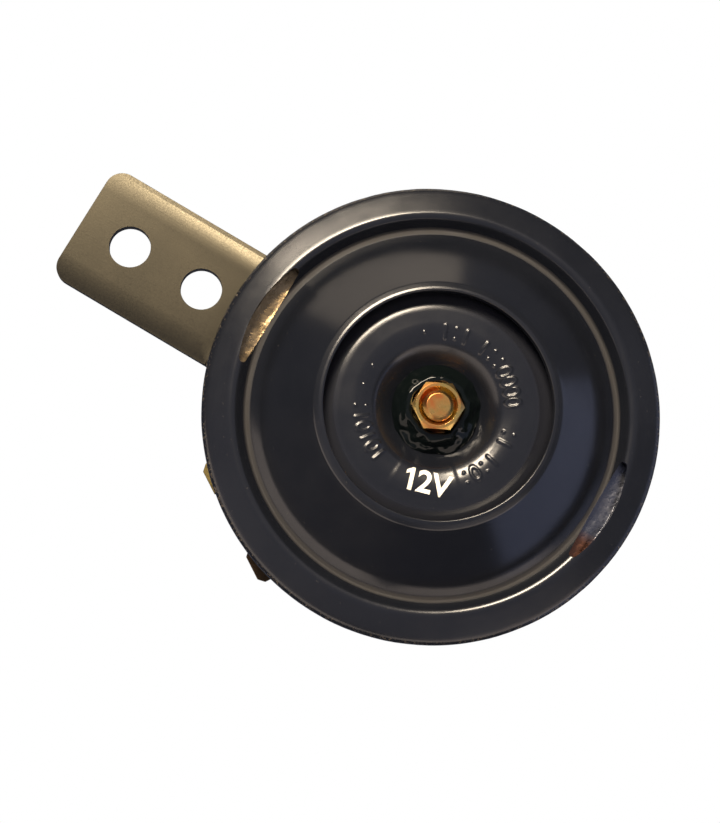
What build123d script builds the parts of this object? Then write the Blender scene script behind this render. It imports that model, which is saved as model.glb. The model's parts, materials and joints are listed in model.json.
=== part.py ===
"""A 75 mm disc horn: crimped steel case, tone disc, electromagnet, contact breaker and bracket.

Row frame, in millimetres: the sound comes out along -Y, the bracket points up along +Z, and the
origin is midway between the bracket's two bolt holes, on its rear face. Inside the horn a height
is counted along the horn's axis, towards the front, from the middle of the crimped rim.
"""

import os
from math import acos, atan2, cos, degrees, dist, hypot, radians, remainder, sin, tan, tau

from build123d import *

os.makedirs("parts", exist_ok=True)

# --- driving dimensions (mm, degrees) --------------------------------------------------------
# case
RIM_RADIUS = 37.5            # outside of the crimped rim
FLANGE_SLOPE = 20.0          # cone angle of the flange and of all that is clamped in it
SHEET = 0.8                  # cover, housing and tone disc
RIM_FRONT = 1.7              # height of the flange's front where the rim's rounding starts
RIM_EDGE = 1.0               # width of that rounding
FOLD_BEND, EDGE_BEND = 0.9, 1.2
FOLD_LIP = 0.4               # the fold ends this far outside the clamped stack's inner edge
CLAMP_WIDTH = 3.1            # from the rim to the clamped stack's inner edge
GASKET = 0.3
DIAPHRAGM = 0.25
CREST_INSET, CREST_BEND = 1.9, 0.9           # inside the clamped stack
GROOVE_INSET, GROOVE_HEIGHT, GROOVE_BEND = 1.9, 1.2, 1.0    # inside the crest
CONE_FOOT_SLOPE = 12.0       # the cone starts flat at the groove ...
CONE_SLOPE = 62.0            # ... and ends steep at the opening
CONE_BEND = 8.0
OPENING_RADIUS = 18.2        # inside of the rolled lip
OPENING_HEIGHT = 12.0
LIP_WIDTH, LIP_DEPTH = 2.0, 1.7
LIP_BEND_OUTER, LIP_BEND_INNER = 1.5, 0.95
SLOT_LENGTH, SLOT_SAGITTA, SLOT_INSET = 17.8, 3.0, 0.25     # chord inside the groove's bottom
SLOT_TIP = 0.5

# housing behind the rim
BASE_HEIGHT = -17.0          # outside of the flat base
BASE_DRAFT = 0.8             # the base is this much narrower than the shoulder
BASE_BEND = 2.2
SHOULDER_HEIGHT = -6.2
SHOULDER_INSET = 2.9         # inside the mouth
MOUTH_INSET = 0.5            # inside the clamped stack
MOUTH_BEND = 0.5
SHOULDER_STEP, SHOULDER_BEND = 1.6, 1.5
CORRUGATION_INSET, CORRUGATION_HEIGHT, CORRUGATION_BEND = 0.8, -0.2, 1.2
CLAMP_BEND = 3.0

# moving stack
CLAMP_RADIUS = 9.0           # flat middle of the diaphragm
DIAPHRAGM_TOP = 2.6          # height of that flat, front face
ARMATURE_RADIUS = 12.0
ARMATURE_HEIGHT = 4.0
ARMATURE_BOSS_RADIUS, ARMATURE_BOSS = 6.0, 0.5
STUD_RADIUS = 2.5            # M5
STUD_SINK, STUD_CHAMFER = 0.5, 0.6
ARMATURE_CHAMFER = 0.4
CORE_CHAMFER = 0.4
SPACER_RADIUS, SPACER_HEIGHT = 6.0, 2.5
TONE_FLANGE = 4.1            # width of the tone disc's flange, outside its dome
TONE_FLANGE_HEIGHT = 3.5
SEAT_MARGIN, SEAT_BEND = 1.0, 1.0            # flat round the washer
FUNNEL_INSET, FUNNEL_HEIGHT, FUNNEL_BEND = 2.7, 9.0, 2.2    # inside the crest
DOME_CREST_INSET, DOME_CREST, CREST_CROWN = 4.0, 9.55, 6.5  # inside the shoulder
DOME_SHOULDER_INSET, DOME_SHOULDER, SHOULDER_CROWN = 1.7, 8.2, 3.2
DOME_CLEARANCE, FOOT_BEND = 0.3, 0.9         # foot of the dome's flank to the opening
WASHER_RADIUS, WASHER = 6.0, 0.8
NUT_FLATS, NUT_HEIGHT = 8.0, 4.0
STUD_PROUD = 0.7
NUT_TURN = -3.0              # a corner of the nut lies near +X
NUT_LAND = 0.97              # flat face of a nut, of its width across flats
LACQUER_LIP, LACQUER = 0.45, 0.6              # beyond the washer, above it

# electromagnet
AIR_GAP = 0.9                # armature to core, of which 0.5 is stroke
CORE_RADIUS = 6.5
REAR_STUD_RADIUS = 3.0       # M6
BOBBIN_RADIUS = 14.5
BOBBIN_WALL = 0.9
BOBBIN_GAP = 1.6             # top flange below the core's face
WINDING_INSET = 0.6
WIRE_RADIUS = 0.35

# contact breaker, in its own radial direction
BUSH_CLEARANCE = 0.8         # adjusting bush to the terminals' insulator
HOLDER_INSET, HOLDER_DEPTH, HOLDER_HALF = 4.2, 6.5, 4.0      # inside the base
HOLDER_TOP = -4.1
STRAP = 0.5
LEAF = 0.3
LEAF_MARGIN = 1.2            # beyond the button
LEAF_HALF = 2.6
CONTACT_GAP_SPACER = 1.25
ARM = 0.8
ARM_MARGIN = 1.9             # beyond the contacts
CONTACT_PLACE = 0.427        # of the way from the armature's edge to the holder
CONTACT_RADIUS = 1.2
BUTTON_INSET, BUTTON_RADIUS = 1.4, 1.0       # inside the armature's edge
PEG_INSET, PEG_MARGIN, PEG_RADIUS = 1.5, 1.4, 0.9            # inside the holder's edges
PEG_HEAD_RADIUS, PEG_HEAD = 1.5, 0.6
FOOT_END, FOOT = 10.0, 2.0
FOOT_RIVET_RADIUS, FOOT_RIVET_HEAD_RADIUS, FOOT_RIVET_HEAD = 1.25, 2.2, 0.8
TAG_INSET, TAG_WIDTH, TAG_GAP, TAG_BOTTOM = 0.5, 3.0, 1.0, -7.0
TAG_WIRE = 0.8               # from the tag's end to the coil's end on it
HOLDER_EDGE = 0.8
STRAP_INSET, STRAP_MARGIN = 1.1, 2.5         # foot of the strap, round the terminal's rivet
PIN_CLEAR = 0.4              # round the pin where it passes live metal
SHANK_RADIUS, CLENCH_RADIUS, CLENCH = 0.6, 0.9, 0.3
CONTACT_HEAD = 0.6
CLOSED_GAP = 0.02
BUTTON_GAP = 0.1
ADJUST_INSET = 2.6           # inside the holder's outer edge
PIN_RADIUS, PIN_FOOT = 1.6, -10.0
SCREW_RADIUS = 2.0           # M4
SCREW_PROUD = 2.2
SCREW_CHAMFER = 0.3
DRIVER_SLOT, DRIVER_DEPTH = 0.8, 1.2
BUSH_RADIUS, BUSH_NECK_RADIUS, BUSH, BUSH_NECK = 4.2, 3.0, 1.4, 1.0
LOCK_NUT_FLATS, LOCK_NUT = 7.0, 2.2

# terminals, in their own radial direction
INSULATOR_CLEARANCE = 0.78   # to the bracket's edge
TERMINAL_INSET, TERMINAL_OFFSET = 7.2, 8.2   # inside the base
INSULATOR_WIDTH, INSULATOR = 7.0, 3.0
INNER_WIDTH, INNER_INSULATOR = 6.0, 0.8
BOSS_RADIUS = 2.4
TAB_WIDTH, TAB, TAB_CHAMFER = 6.3, 0.8, 1.0
TAB_TIP_INSET = 0.65         # inside the rim
TAB_MARGIN = 0.4
TAB_HOLE_RADIUS, TAB_HOLE_INSET = 0.8, 4.2
RIVET_RADIUS, RIVET_HEAD_RADIUS, RIVET_HEAD = 1.5, 2.6, 0.8

# bracket and its fastening
BRACKET_WIDTH, BRACKET = 21.5, 2.0
BOLT_SPACING, BOLT_RADIUS, BOLT_MARGIN = 14.0, 3.5, 9.2
RIM_DROP = 13.5              # rim below the origin
BRACKET_FACE = -10.3         # height of the front face of its outer, forward part
JOGGLE_CLEARANCE, JOGGLE_RUN, JOGGLE_BEND = 1.0, 4.4, 2.5     # clear of the base
BRACKET_CORNER = 3.0
REAR_WASHER_RADIUS, REAR_WASHER = 6.0, 1.2
SPRING_WASHER_RADIUS, SPRING_WASHER, SPRING_WASHER_SPLIT = 5.4, 1.5, 1.0
REAR_NUT_FLATS, REAR_NUT = 10.0, 5.0
REAR_STUD_PROUD = 1.5

FIT = 0.05                   # radial clearance of a piece in its hole
SLACK = 0.3                  # radial clearance of the stack in the crimp
RUN_SHARE = 0.93             # the most that two bends take of the straight run between them

# --- radii and places that follow from them ----------------------------------------------------
AXIS_DROP = RIM_RADIUS + RIM_DROP               # horn axis below the origin
CLAMP_INNER = RIM_RADIUS - CLAMP_WIDTH
CREST_RADIUS = CLAMP_INNER - CREST_INSET
GROOVE_RADIUS = CREST_RADIUS - GROOVE_INSET
SLOT_CHORD = GROOVE_RADIUS - SLOT_INSET
CORRUGATION_OUTER = CLAMP_INNER - CORRUGATION_INSET
MOUTH_RADIUS = CLAMP_INNER - MOUTH_INSET
SHOULDER_RADIUS = MOUTH_RADIUS - SHOULDER_INSET
BASE_RADIUS = SHOULDER_RADIUS - BASE_DRAFT
JOGGLE_START = BASE_RADIUS + JOGGLE_CLEARANCE

DOME_RADIUS = OPENING_RADIUS - DOME_CLEARANCE
DOME_SHOULDER_RADIUS = DOME_RADIUS - DOME_SHOULDER_INSET
DOME_CREST_RADIUS = DOME_SHOULDER_RADIUS - DOME_CREST_INSET
FUNNEL_RADIUS = DOME_CREST_RADIUS - FUNNEL_INSET
SEAT_RADIUS = WASHER_RADIUS + SEAT_MARGIN
TONE_RADIUS = DOME_RADIUS + TONE_FLANGE
WINDING_RADIUS = BOBBIN_RADIUS - WINDING_INSET

HOLDER_FAR = BASE_RADIUS - HOLDER_INSET
HOLDER_NEAR = HOLDER_FAR - HOLDER_DEPTH
CONTACT_POINT = ARMATURE_RADIUS + (HOLDER_NEAR - ARMATURE_RADIUS) * CONTACT_PLACE
ARM_TIP = CONTACT_POINT - ARM_MARGIN
BUTTON_POINT = ARMATURE_RADIUS - BUTTON_INSET
LEAF_TIP = BUTTON_POINT - LEAF_MARGIN
PEG_POINT = HOLDER_NEAR + PEG_INSET
PEG_OFFSET = HOLDER_HALF - PEG_MARGIN
ADJUST_POINT = HOLDER_FAR - ADJUST_INSET
TAG_NEAR = HOLDER_NEAR + TAG_INSET
TAG_FAR = TAG_NEAR + TAG_WIDTH
TAG_START = HOLDER_HALF + TAG_GAP
TAG_HEIGHT = TAG_BOTTOM + TAG_WIRE
STRAP_NEAR = HOLDER_NEAR + STRAP_INSET
TERMINAL_POINT = BASE_RADIUS - TERMINAL_INSET
TAB_TIP = RIM_RADIUS - TAB_TIP_INSET

# --- directions of the terminals and of the contact breaker, side by side ------------------------
RIVET_REACH = hypot(TERMINAL_POINT, TERMINAL_OFFSET)
RIVET_SPREAD = degrees(atan2(TERMINAL_OFFSET, TERMINAL_POINT))      # each side of their middle
insulator_end = BRACKET_WIDTH / 2 + INSULATOR_CLEARANCE + INSULATOR_WIDTH / 2
RIVET_ANGLE = degrees(acos(-insulator_end / RIVET_REACH))
TERMINAL_ANGLE = RIVET_ANGLE + RIVET_SPREAD
bush_spacing = INSULATOR_WIDTH / 2 + BUSH_CLEARANCE + BUSH_RADIUS
BUSH_SPREAD = acos(
    (RIVET_REACH**2 + ADJUST_POINT**2 - bush_spacing**2) / (2 * RIVET_REACH * ADJUST_POINT)
)
CONTACT_ANGLE = TERMINAL_ANGLE + RIVET_SPREAD + degrees(BUSH_SPREAD)
STRAP_END = -RIVET_REACH * sin(BUSH_SPREAD) - STRAP_MARGIN

# --- heights that follow from them -----------------------------------------------------------
RIM_PLANE_Y = BRACKET_FACE - BRACKET            # row Y of height 0
HORN_CENTRE = (0, RIM_PLANE_Y, -AXIS_DROP)
FACE = Plane(origin=HORN_CENTRE, x_dir=(1, 0, 0), z_dir=(0, -1, 0))
PROFILE = Plane(origin=HORN_CENTRE, x_dir=(1, 0, 0), z_dir=(0, 0, -1))
HORN_AXIS = Axis(HORN_CENTRE, (0, -1, 0))

RISE = tan(radians(FLANGE_SLOPE))
UPRIGHT = 1 / cos(radians(FLANGE_SLOPE))        # height of a sloping sheet per unit of thickness
EDGE_RADIUS = RIM_RADIUS - RIM_EDGE
STACK_RADIUS = RIM_RADIUS - SHEET - SLACK
FLANGE_RADIUS = STACK_RADIUS - SHEET * sin(radians(FLANGE_SLOPE))


def on_flange(radius, level):
    """Height at a radius of the flange-sloped cone that passes the rim's edge at a level."""
    return level + (EDGE_RADIUS - radius) * RISE


COVER_BACK = RIM_FRONT - SHEET * UPRIGHT
DIAPHRAGM_FRONT = COVER_BACK - GASKET * UPRIGHT
DIAPHRAGM_BACK = DIAPHRAGM_FRONT - DIAPHRAGM * UPRIGHT
HOUSING_FRONT = DIAPHRAGM_BACK - GASKET * UPRIGHT
HOUSING_BACK = HOUSING_FRONT - SHEET * UPRIGHT
FOLD_BACK = HOUSING_BACK - SHEET * UPRIGHT

BASE_INSIDE = BASE_HEIGHT + SHEET
ARMATURE_SEAT = DIAPHRAGM_TOP - DIAPHRAGM
ARMATURE_BOTTOM = ARMATURE_SEAT - ARMATURE_BOSS - ARMATURE_HEIGHT
CORE_TOP = ARMATURE_BOTTOM - AIR_GAP
TONE_SEAT = DIAPHRAGM_TOP + SPACER_HEIGHT + SHEET
NUT_SEAT = TONE_SEAT + WASHER
BOBBIN_TOP = CORE_TOP - BOBBIN_GAP
LEAF_TOP = HOLDER_TOP + STRAP + LEAF
ARM_BOTTOM = LEAF_TOP + CONTACT_GAP_SPACER
ARM_TOP = ARM_BOTTOM + ARM
INSULATOR_BACK = BASE_HEIGHT - INSULATOR
TAB_BACK = INSULATOR_BACK - TAB
STRAP_FOOT = BASE_INSIDE + INNER_INSULATOR
BRACKET_BACK = BASE_HEIGHT - BRACKET
BUSH_BACK = BASE_HEIGHT - BUSH
SCREW_END = BUSH_BACK - LOCK_NUT - SCREW_PROUD
STUD_TIP = NUT_SEAT + NUT_HEIGHT + STUD_PROUD
SPRING_WASHER_BACK = BRACKET_BACK - REAR_WASHER - SPRING_WASHER
REAR_NUT_BACK = SPRING_WASHER_BACK - REAR_NUT
REAR_STUD_END = REAR_NUT_BACK - REAR_STUD_PROUD
TAG_MIDDLE = TAG_START + ARM / 2
TAG_ANGLE = CONTACT_ANGLE + degrees(atan2(TAG_MIDDLE, TAG_NEAR))
TAG_REACH = hypot(TAG_NEAR, TAG_MIDDLE)


def turned(angle):
    """The face plane turned about the horn's axis, so that its X points outwards at the angle."""
    outwards = (cos(radians(angle)), 0, sin(radians(angle)))
    return Plane(origin=HORN_CENTRE, x_dir=outwards, z_dir=(0, -1, 0))


CONTACT_FACE = turned(CONTACT_ANGLE)
TERMINAL_FACE = turned(TERMINAL_ANGLE)


def fitted(points, bends):
    """The bends, made smaller where they would take more than the straight runs beside them."""
    runs = [dist(start, end) for start, end in zip(points, points[1:])]
    courses = [atan2(end[1] - start[1], end[0] - start[0]) for start, end in zip(points, points[1:])]
    turns = [abs(remainder(after - before, tau)) for before, after in zip(courses, courses[1:])]
    reaches = [0.0] + [bend * tan(turn / 2) for bend, turn in zip(bends, turns)] + [0.0]
    room = [min(1.0, RUN_SHARE * run / (reaches[i] + reaches[i + 1])) for i, run in enumerate(runs)]
    return [bend * min(before, after) for bend, before, after in zip(bends, room, room[1:])]


def round_sheet(points, bends, thickness=SHEET, side=Side.LEFT):
    """Revolve a sheet with one surface along the filleted points, in the open part."""
    with BuildSketch(PROFILE) as section:
        with BuildLine():
            FilletPolyline(*points, radius=fitted(points, bends))
            offset(amount=thickness, side=side, closed=True)
        make_face()
    revolve(section.sketch, axis=HORN_AXIS)


def round_section(*points):
    """Revolve a closed outline of (radius, height) points about the horn's axis, in the open part."""
    with BuildSketch(PROFILE) as section:
        with BuildLine():
            Polyline(*points, close=True)
        make_face()
    revolve(section.sketch, axis=HORN_AXIS)


def tube(face, low, high, outer, inner=0.0, at=(0, 0)):
    """Add a disc or a ring between two heights, in the open part."""
    with BuildSketch(face.offset(low)) as ring:
        with Locations(at):
            Circle(outer)
            if inner > 0:
                Circle(inner, mode=Mode.SUBTRACT)
    extrude(ring.sketch, amount=high - low)


def bore(face, low, high, radius, at=(0, 0)):
    """Cut a round hole between two heights, in the open part."""
    with BuildSketch(face.offset(low)) as hole:
        with Locations(at):
            Circle(radius)
    extrude(hole.sketch, amount=high - low, mode=Mode.SUBTRACT)


def block(face, low, high, near, far, start, end, corner=0.0, mode=Mode.ADD):
    """Add a block: near to far along the face's X, start to end along its Y."""
    with BuildSketch(face.offset(low)) as outline:
        with Locations(((near + far) / 2, (start + end) / 2)):
            if corner > 0:
                RectangleRounded(far - near, end - start, corner)
            else:
                Rectangle(far - near, end - start)
    extrude(outline.sketch, amount=high - low, mode=mode)


def hex_nut(face, low, high, flats, hole, turn=0.0, at=(0, 0)):
    """Add a hexagon nut with both faces chamfered at 30 degrees, in the open part."""
    corner = flats / 2 / cos(radians(30))
    land = flats / 2 * NUT_LAND
    drop = (corner - land) * tan(radians(30))
    with BuildSketch(face.offset(low)) as hexagon:
        with Locations(at):
            RegularPolygon(flats / 2, 6, major_radius=False, rotation=turn)
    extrude(hexagon.sketch, amount=high - low)
    centre = face.from_local_coords((at[0], at[1], low))
    side_view = Plane(origin=centre, x_dir=face.x_dir, z_dir=face.y_dir * -1)
    with BuildSketch(side_view) as chamfers:
        with BuildLine():
            Polyline(
                (0, 0),
                (land, 0),
                (corner, drop),
                (corner, high - low - drop),
                (land, high - low),
                (0, high - low),
                close=True,
            )
        make_face()
    revolve(chamfers.sketch, axis=Axis(centre, face.z_dir), mode=Mode.INTERSECT)
    bore(face, low, high, hole, at)


# --- crimped case ----------------------------------------------------------------------------
LIP_RADIUS = OPENING_RADIUS + LIP_WIDTH
FOOT_RISE = tan(radians(CONE_FOOT_SLOPE))
STEEP_RISE = tan(radians(CONE_SLOPE))
CONE_KNEE = (OPENING_HEIGHT - GROOVE_HEIGHT + LIP_RADIUS * STEEP_RISE - GROOVE_RADIUS * FOOT_RISE) / (
    STEEP_RISE - FOOT_RISE
)
KNEE_HEIGHT = GROOVE_HEIGHT + (GROOVE_RADIUS - CONE_KNEE) * FOOT_RISE

with BuildPart() as front_cover:
    round_sheet(
        [
            (CLAMP_INNER + FOLD_LIP, on_flange(CLAMP_INNER + FOLD_LIP, FOLD_BACK)),
            (RIM_RADIUS, on_flange(RIM_RADIUS, FOLD_BACK)),
            (RIM_RADIUS, on_flange(RIM_RADIUS, RIM_FRONT)),
            (CREST_RADIUS, on_flange(CREST_RADIUS, RIM_FRONT)),
            (GROOVE_RADIUS, GROOVE_HEIGHT),
            (CONE_KNEE, KNEE_HEIGHT),
            (LIP_RADIUS, OPENING_HEIGHT),
            (OPENING_RADIUS, OPENING_HEIGHT),
            (OPENING_RADIUS, OPENING_HEIGHT - LIP_DEPTH),
        ],
        [FOLD_BEND, EDGE_BEND, CREST_BEND, GROOVE_BEND, CONE_BEND, LIP_BEND_OUTER, LIP_BEND_INNER],
        side=Side.RIGHT,
    )
    # two sound slots: segments of a circle, punched through the groove's outer wall
    with BuildSketch(FACE.offset(-RIM_RADIUS)) as slots:
        for side in (1, -1):
            chord_end = SLOT_LENGTH / 2
            with BuildLine():
                ThreePointArc(
                    (-chord_end, side * SLOT_CHORD),
                    (0, side * (SLOT_CHORD + SLOT_SAGITTA)),
                    (chord_end, side * SLOT_CHORD),
                )
                Line((chord_end, side * SLOT_CHORD), (-chord_end, side * SLOT_CHORD))
            make_face()
        fillet(slots.vertices(), SLOT_TIP)
    extrude(slots.sketch, amount=2 * RIM_RADIUS, mode=Mode.SUBTRACT)
front_cover.part.label = "front_cover"
export_step(front_cover.part, "parts/front_cover.step")

with BuildPart() as front_gasket:
    round_section(
        (CLAMP_INNER, on_flange(CLAMP_INNER, DIAPHRAGM_FRONT)),
        (STACK_RADIUS, on_flange(STACK_RADIUS, DIAPHRAGM_FRONT)),
        (STACK_RADIUS, on_flange(STACK_RADIUS, COVER_BACK)),
        (CLAMP_INNER, on_flange(CLAMP_INNER, COVER_BACK)),
    )
front_gasket.part.label = "front_gasket"
export_step(front_gasket.part, "parts/front_gasket.step")

with BuildPart() as diaphragm:
    round_sheet(
        [
            (STACK_RADIUS, on_flange(STACK_RADIUS, DIAPHRAGM_FRONT)),
            (CORRUGATION_OUTER, on_flange(CORRUGATION_OUTER, DIAPHRAGM_FRONT)),
            (GROOVE_RADIUS, CORRUGATION_HEIGHT),
            (CLAMP_RADIUS, DIAPHRAGM_TOP),
            (STUD_RADIUS + FIT, DIAPHRAGM_TOP),
        ],
        [CORRUGATION_BEND, CORRUGATION_BEND, CLAMP_BEND],
        DIAPHRAGM,
    )
diaphragm.part.label = "diaphragm"
export_step(diaphragm.part, "parts/diaphragm.step")

with BuildPart() as rear_gasket:
    round_section(
        (CLAMP_INNER, on_flange(CLAMP_INNER, HOUSING_FRONT)),
        (STACK_RADIUS, on_flange(STACK_RADIUS, HOUSING_FRONT)),
        (STACK_RADIUS, on_flange(STACK_RADIUS, DIAPHRAGM_BACK)),
        (CLAMP_INNER, on_flange(CLAMP_INNER, DIAPHRAGM_BACK)),
    )
rear_gasket.part.label = "rear_gasket"
export_step(rear_gasket.part, "parts/rear_gasket.step")

RIVET_PLACES = [(TERMINAL_POINT, -TERMINAL_OFFSET), (TERMINAL_POINT, TERMINAL_OFFSET)]
FOOT_RIVET = ((HOLDER_NEAR + HOLDER_FAR) / 2, (HOLDER_HALF + FOOT_END) / 2)

with BuildPart() as housing:
    round_sheet(
        [
            (REAR_STUD_RADIUS + FIT, BASE_HEIGHT),
            (BASE_RADIUS, BASE_HEIGHT),
            (SHOULDER_RADIUS, SHOULDER_HEIGHT),
            (MOUTH_RADIUS, SHOULDER_HEIGHT + SHOULDER_STEP),
            (MOUTH_RADIUS, on_flange(MOUTH_RADIUS, HOUSING_BACK)),
            (FLANGE_RADIUS, on_flange(FLANGE_RADIUS, HOUSING_BACK)),
        ],
        [BASE_BEND, SHOULDER_BEND, SHOULDER_BEND, MOUTH_BEND],
    )
    for place in RIVET_PLACES:
        bore(TERMINAL_FACE, BASE_HEIGHT, BASE_INSIDE, BOSS_RADIUS + FIT, place)
    bore(CONTACT_FACE, BASE_HEIGHT, BASE_INSIDE, BUSH_NECK_RADIUS + FIT, (ADJUST_POINT, 0))
    bore(CONTACT_FACE, BASE_HEIGHT, BASE_INSIDE, FOOT_RIVET_RADIUS + FIT, FOOT_RIVET)
housing.part.label = "housing"
export_step(housing.part, "parts/housing.step")

# --- moving stack: armature, stud, spacer, tone disc and its nut -------------------------------
with BuildPart() as armature:
    tube(FACE, ARMATURE_BOTTOM, ARMATURE_SEAT - ARMATURE_BOSS, ARMATURE_RADIUS)
    chamfer(armature.edges().filter_by(GeomType.CIRCLE), ARMATURE_CHAMFER)
    tube(FACE, ARMATURE_SEAT - ARMATURE_BOSS, ARMATURE_SEAT, ARMATURE_BOSS_RADIUS)
    bore(FACE, ARMATURE_BOTTOM, ARMATURE_SEAT, STUD_RADIUS + FIT)
armature.part.label = "armature"
export_step(armature.part, "parts/armature.step")

with BuildPart() as armature_stud:
    tube(FACE, ARMATURE_BOTTOM + STUD_SINK, STUD_TIP, STUD_RADIUS)
    chamfer(armature_stud.edges().filter_by(GeomType.CIRCLE), STUD_CHAMFER)
armature_stud.part.label = "armature_stud"
export_step(armature_stud.part, "parts/armature_stud.step")

with BuildPart() as stud_spacer:
    tube(FACE, DIAPHRAGM_TOP, DIAPHRAGM_TOP + SPACER_HEIGHT, SPACER_RADIUS, STUD_RADIUS + FIT)
stud_spacer.part.label = "stud_spacer"
export_step(stud_spacer.part, "parts/stud_spacer.step")

with BuildPart() as tone_disc:
    round_sheet(
        [
            (STUD_RADIUS + FIT, TONE_SEAT),
            (SEAT_RADIUS, TONE_SEAT),
            (FUNNEL_RADIUS, FUNNEL_HEIGHT),
            (DOME_CREST_RADIUS, DOME_CREST),
            (DOME_SHOULDER_RADIUS, DOME_SHOULDER),
            (DOME_RADIUS, TONE_FLANGE_HEIGHT),
            (TONE_RADIUS, TONE_FLANGE_HEIGHT),
        ],
        [SEAT_BEND, FUNNEL_BEND, CREST_CROWN, SHOULDER_CROWN, FOOT_BEND],
        side=Side.RIGHT,
    )
tone_disc.part.label = "tone_disc"
export_step(tone_disc.part, "parts/tone_disc.step")

with BuildPart() as front_washer:
    tube(FACE, TONE_SEAT, NUT_SEAT, WASHER_RADIUS, STUD_RADIUS + FIT)
front_washer.part.label = "front_washer"
export_step(front_washer.part, "parts/front_washer.step")

with BuildPart() as front_nut:
    hex_nut(FACE, NUT_SEAT, NUT_SEAT + NUT_HEIGHT, NUT_FLATS, STUD_RADIUS + FIT, NUT_TURN)
front_nut.part.label = "front_nut"
export_step(front_nut.part, "parts/front_nut.step")

NUT_CORNER = NUT_FLATS / 2 / cos(radians(30)) + FIT
with BuildPart() as sealing_lacquer:
    round_section(
        (NUT_CORNER, NUT_SEAT),
        (WASHER_RADIUS + FIT, NUT_SEAT),
        (WASHER_RADIUS + FIT, TONE_SEAT),
        (WASHER_RADIUS + LACQUER_LIP, TONE_SEAT),
        (WASHER_RADIUS + FIT, NUT_SEAT + LACQUER / 2),
        (NUT_CORNER, NUT_SEAT + LACQUER),
    )
sealing_lacquer.part.label = "sealing_lacquer"
export_step(sealing_lacquer.part, "parts/sealing_lacquer.step")

# --- electromagnet ---------------------------------------------------------------------------
with BuildPart() as core:
    tube(FACE, BASE_INSIDE, CORE_TOP, CORE_RADIUS)
    chamfer(core.edges().filter_by(GeomType.CIRCLE).sort_by(Axis.Y)[0], CORE_CHAMFER)
    tube(FACE, REAR_STUD_END, BASE_INSIDE, REAR_STUD_RADIUS)
    chamfer(core.edges().filter_by(GeomType.CIRCLE).sort_by(Axis.Y)[-1], STUD_CHAMFER)
core.part.label = "core"
export_step(core.part, "parts/core.step")

with BuildPart() as bobbin:
    tube(FACE, BASE_INSIDE, BOBBIN_TOP, BOBBIN_RADIUS)
    tube_wall = CORE_RADIUS + FIT + BOBBIN_WALL
    with BuildSketch(FACE.offset(BASE_INSIDE + BOBBIN_WALL)) as window:
        Circle(BOBBIN_RADIUS)
        Circle(tube_wall, mode=Mode.SUBTRACT)
    extrude(window.sketch, amount=BOBBIN_TOP - BASE_INSIDE - 2 * BOBBIN_WALL, mode=Mode.SUBTRACT)
    bore(FACE, BASE_INSIDE, BOBBIN_TOP, CORE_RADIUS + FIT)
bobbin.part.label = "bobbin"
export_step(bobbin.part, "parts/bobbin.step")

with BuildPart() as winding:
    low, high = BASE_INSIDE + BOBBIN_WALL + FIT, BOBBIN_TOP - BOBBIN_WALL - FIT
    tube(FACE, low, high, WINDING_RADIUS, tube_wall + FIT)
    # the two ends of the wire: one lies on a terminal rivet, one reaches the fixed contact's tag
    for angle, height, reach in (
        (RIVET_ANGLE, STRAP_FOOT + RIVET_HEAD + WIRE_RADIUS, RIVET_REACH),
        (TAG_ANGLE, TAG_HEIGHT, TAG_REACH),
    ):
        outwards = turned(angle)
        start = outwards.from_local_coords((WINDING_RADIUS - WIRE_RADIUS, 0, height))
        with BuildSketch(Plane(origin=start, x_dir=outwards.y_dir, z_dir=outwards.x_dir)) as wire:
            Circle(WIRE_RADIUS)
        extrude(wire.sketch, amount=reach - WINDING_RADIUS + WIRE_RADIUS)
winding.part.label = "winding"
export_step(winding.part, "parts/winding.step")

# --- contact breaker -------------------------------------------------------------------------
PEG_PLACES = [(PEG_POINT, -PEG_OFFSET), (PEG_POINT, PEG_OFFSET)]

with BuildPart() as contact_holder:
    block(CONTACT_FACE, BASE_INSIDE, HOLDER_TOP, HOLDER_NEAR, HOLDER_FAR, -HOLDER_HALF, HOLDER_HALF)
    fillet(contact_holder.edges().filter_by(Axis.Y), HOLDER_EDGE)
    block(
        CONTACT_FACE,
        BASE_INSIDE,
        BASE_INSIDE + FOOT,
        HOLDER_NEAR + HOLDER_EDGE,
        HOLDER_FAR - HOLDER_EDGE,
        HOLDER_HALF - HOLDER_EDGE,
        FOOT_END,
    )
    for place in PEG_PLACES:
        tube(CONTACT_FACE, HOLDER_TOP, ARM_TOP, PEG_RADIUS, at=place)
        tube(CONTACT_FACE, ARM_TOP, ARM_TOP + PEG_HEAD, PEG_HEAD_RADIUS, at=place)
    bore(CONTACT_FACE, BASE_INSIDE, BASE_INSIDE + BUSH_NECK + FIT, BUSH_NECK_RADIUS + FIT, (ADJUST_POINT, 0))
    bore(CONTACT_FACE, BASE_INSIDE, PIN_FOOT, SCREW_RADIUS + FIT, (ADJUST_POINT, 0))
    bore(CONTACT_FACE, PIN_FOOT, HOLDER_TOP, PIN_RADIUS + FIT, (ADJUST_POINT, 0))
    bore(CONTACT_FACE, BASE_INSIDE, BASE_INSIDE + FOOT, FOOT_RIVET_RADIUS + FIT, FOOT_RIVET)
contact_holder.part.label = "contact_holder"
export_step(contact_holder.part, "parts/contact_holder.step")

with BuildPart() as holder_rivet:
    head = FOOT_RIVET_HEAD
    tube(CONTACT_FACE, BASE_HEIGHT - head, BASE_HEIGHT, FOOT_RIVET_HEAD_RADIUS, at=FOOT_RIVET)
    tube(CONTACT_FACE, BASE_HEIGHT, BASE_INSIDE + FOOT, FOOT_RIVET_RADIUS, at=FOOT_RIVET)
    tube(CONTACT_FACE, BASE_INSIDE + FOOT, BASE_INSIDE + FOOT + head, FOOT_RIVET_HEAD_RADIUS, at=FOOT_RIVET)
holder_rivet.part.label = "holder_rivet"
export_step(holder_rivet.part, "parts/holder_rivet.step")

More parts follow.
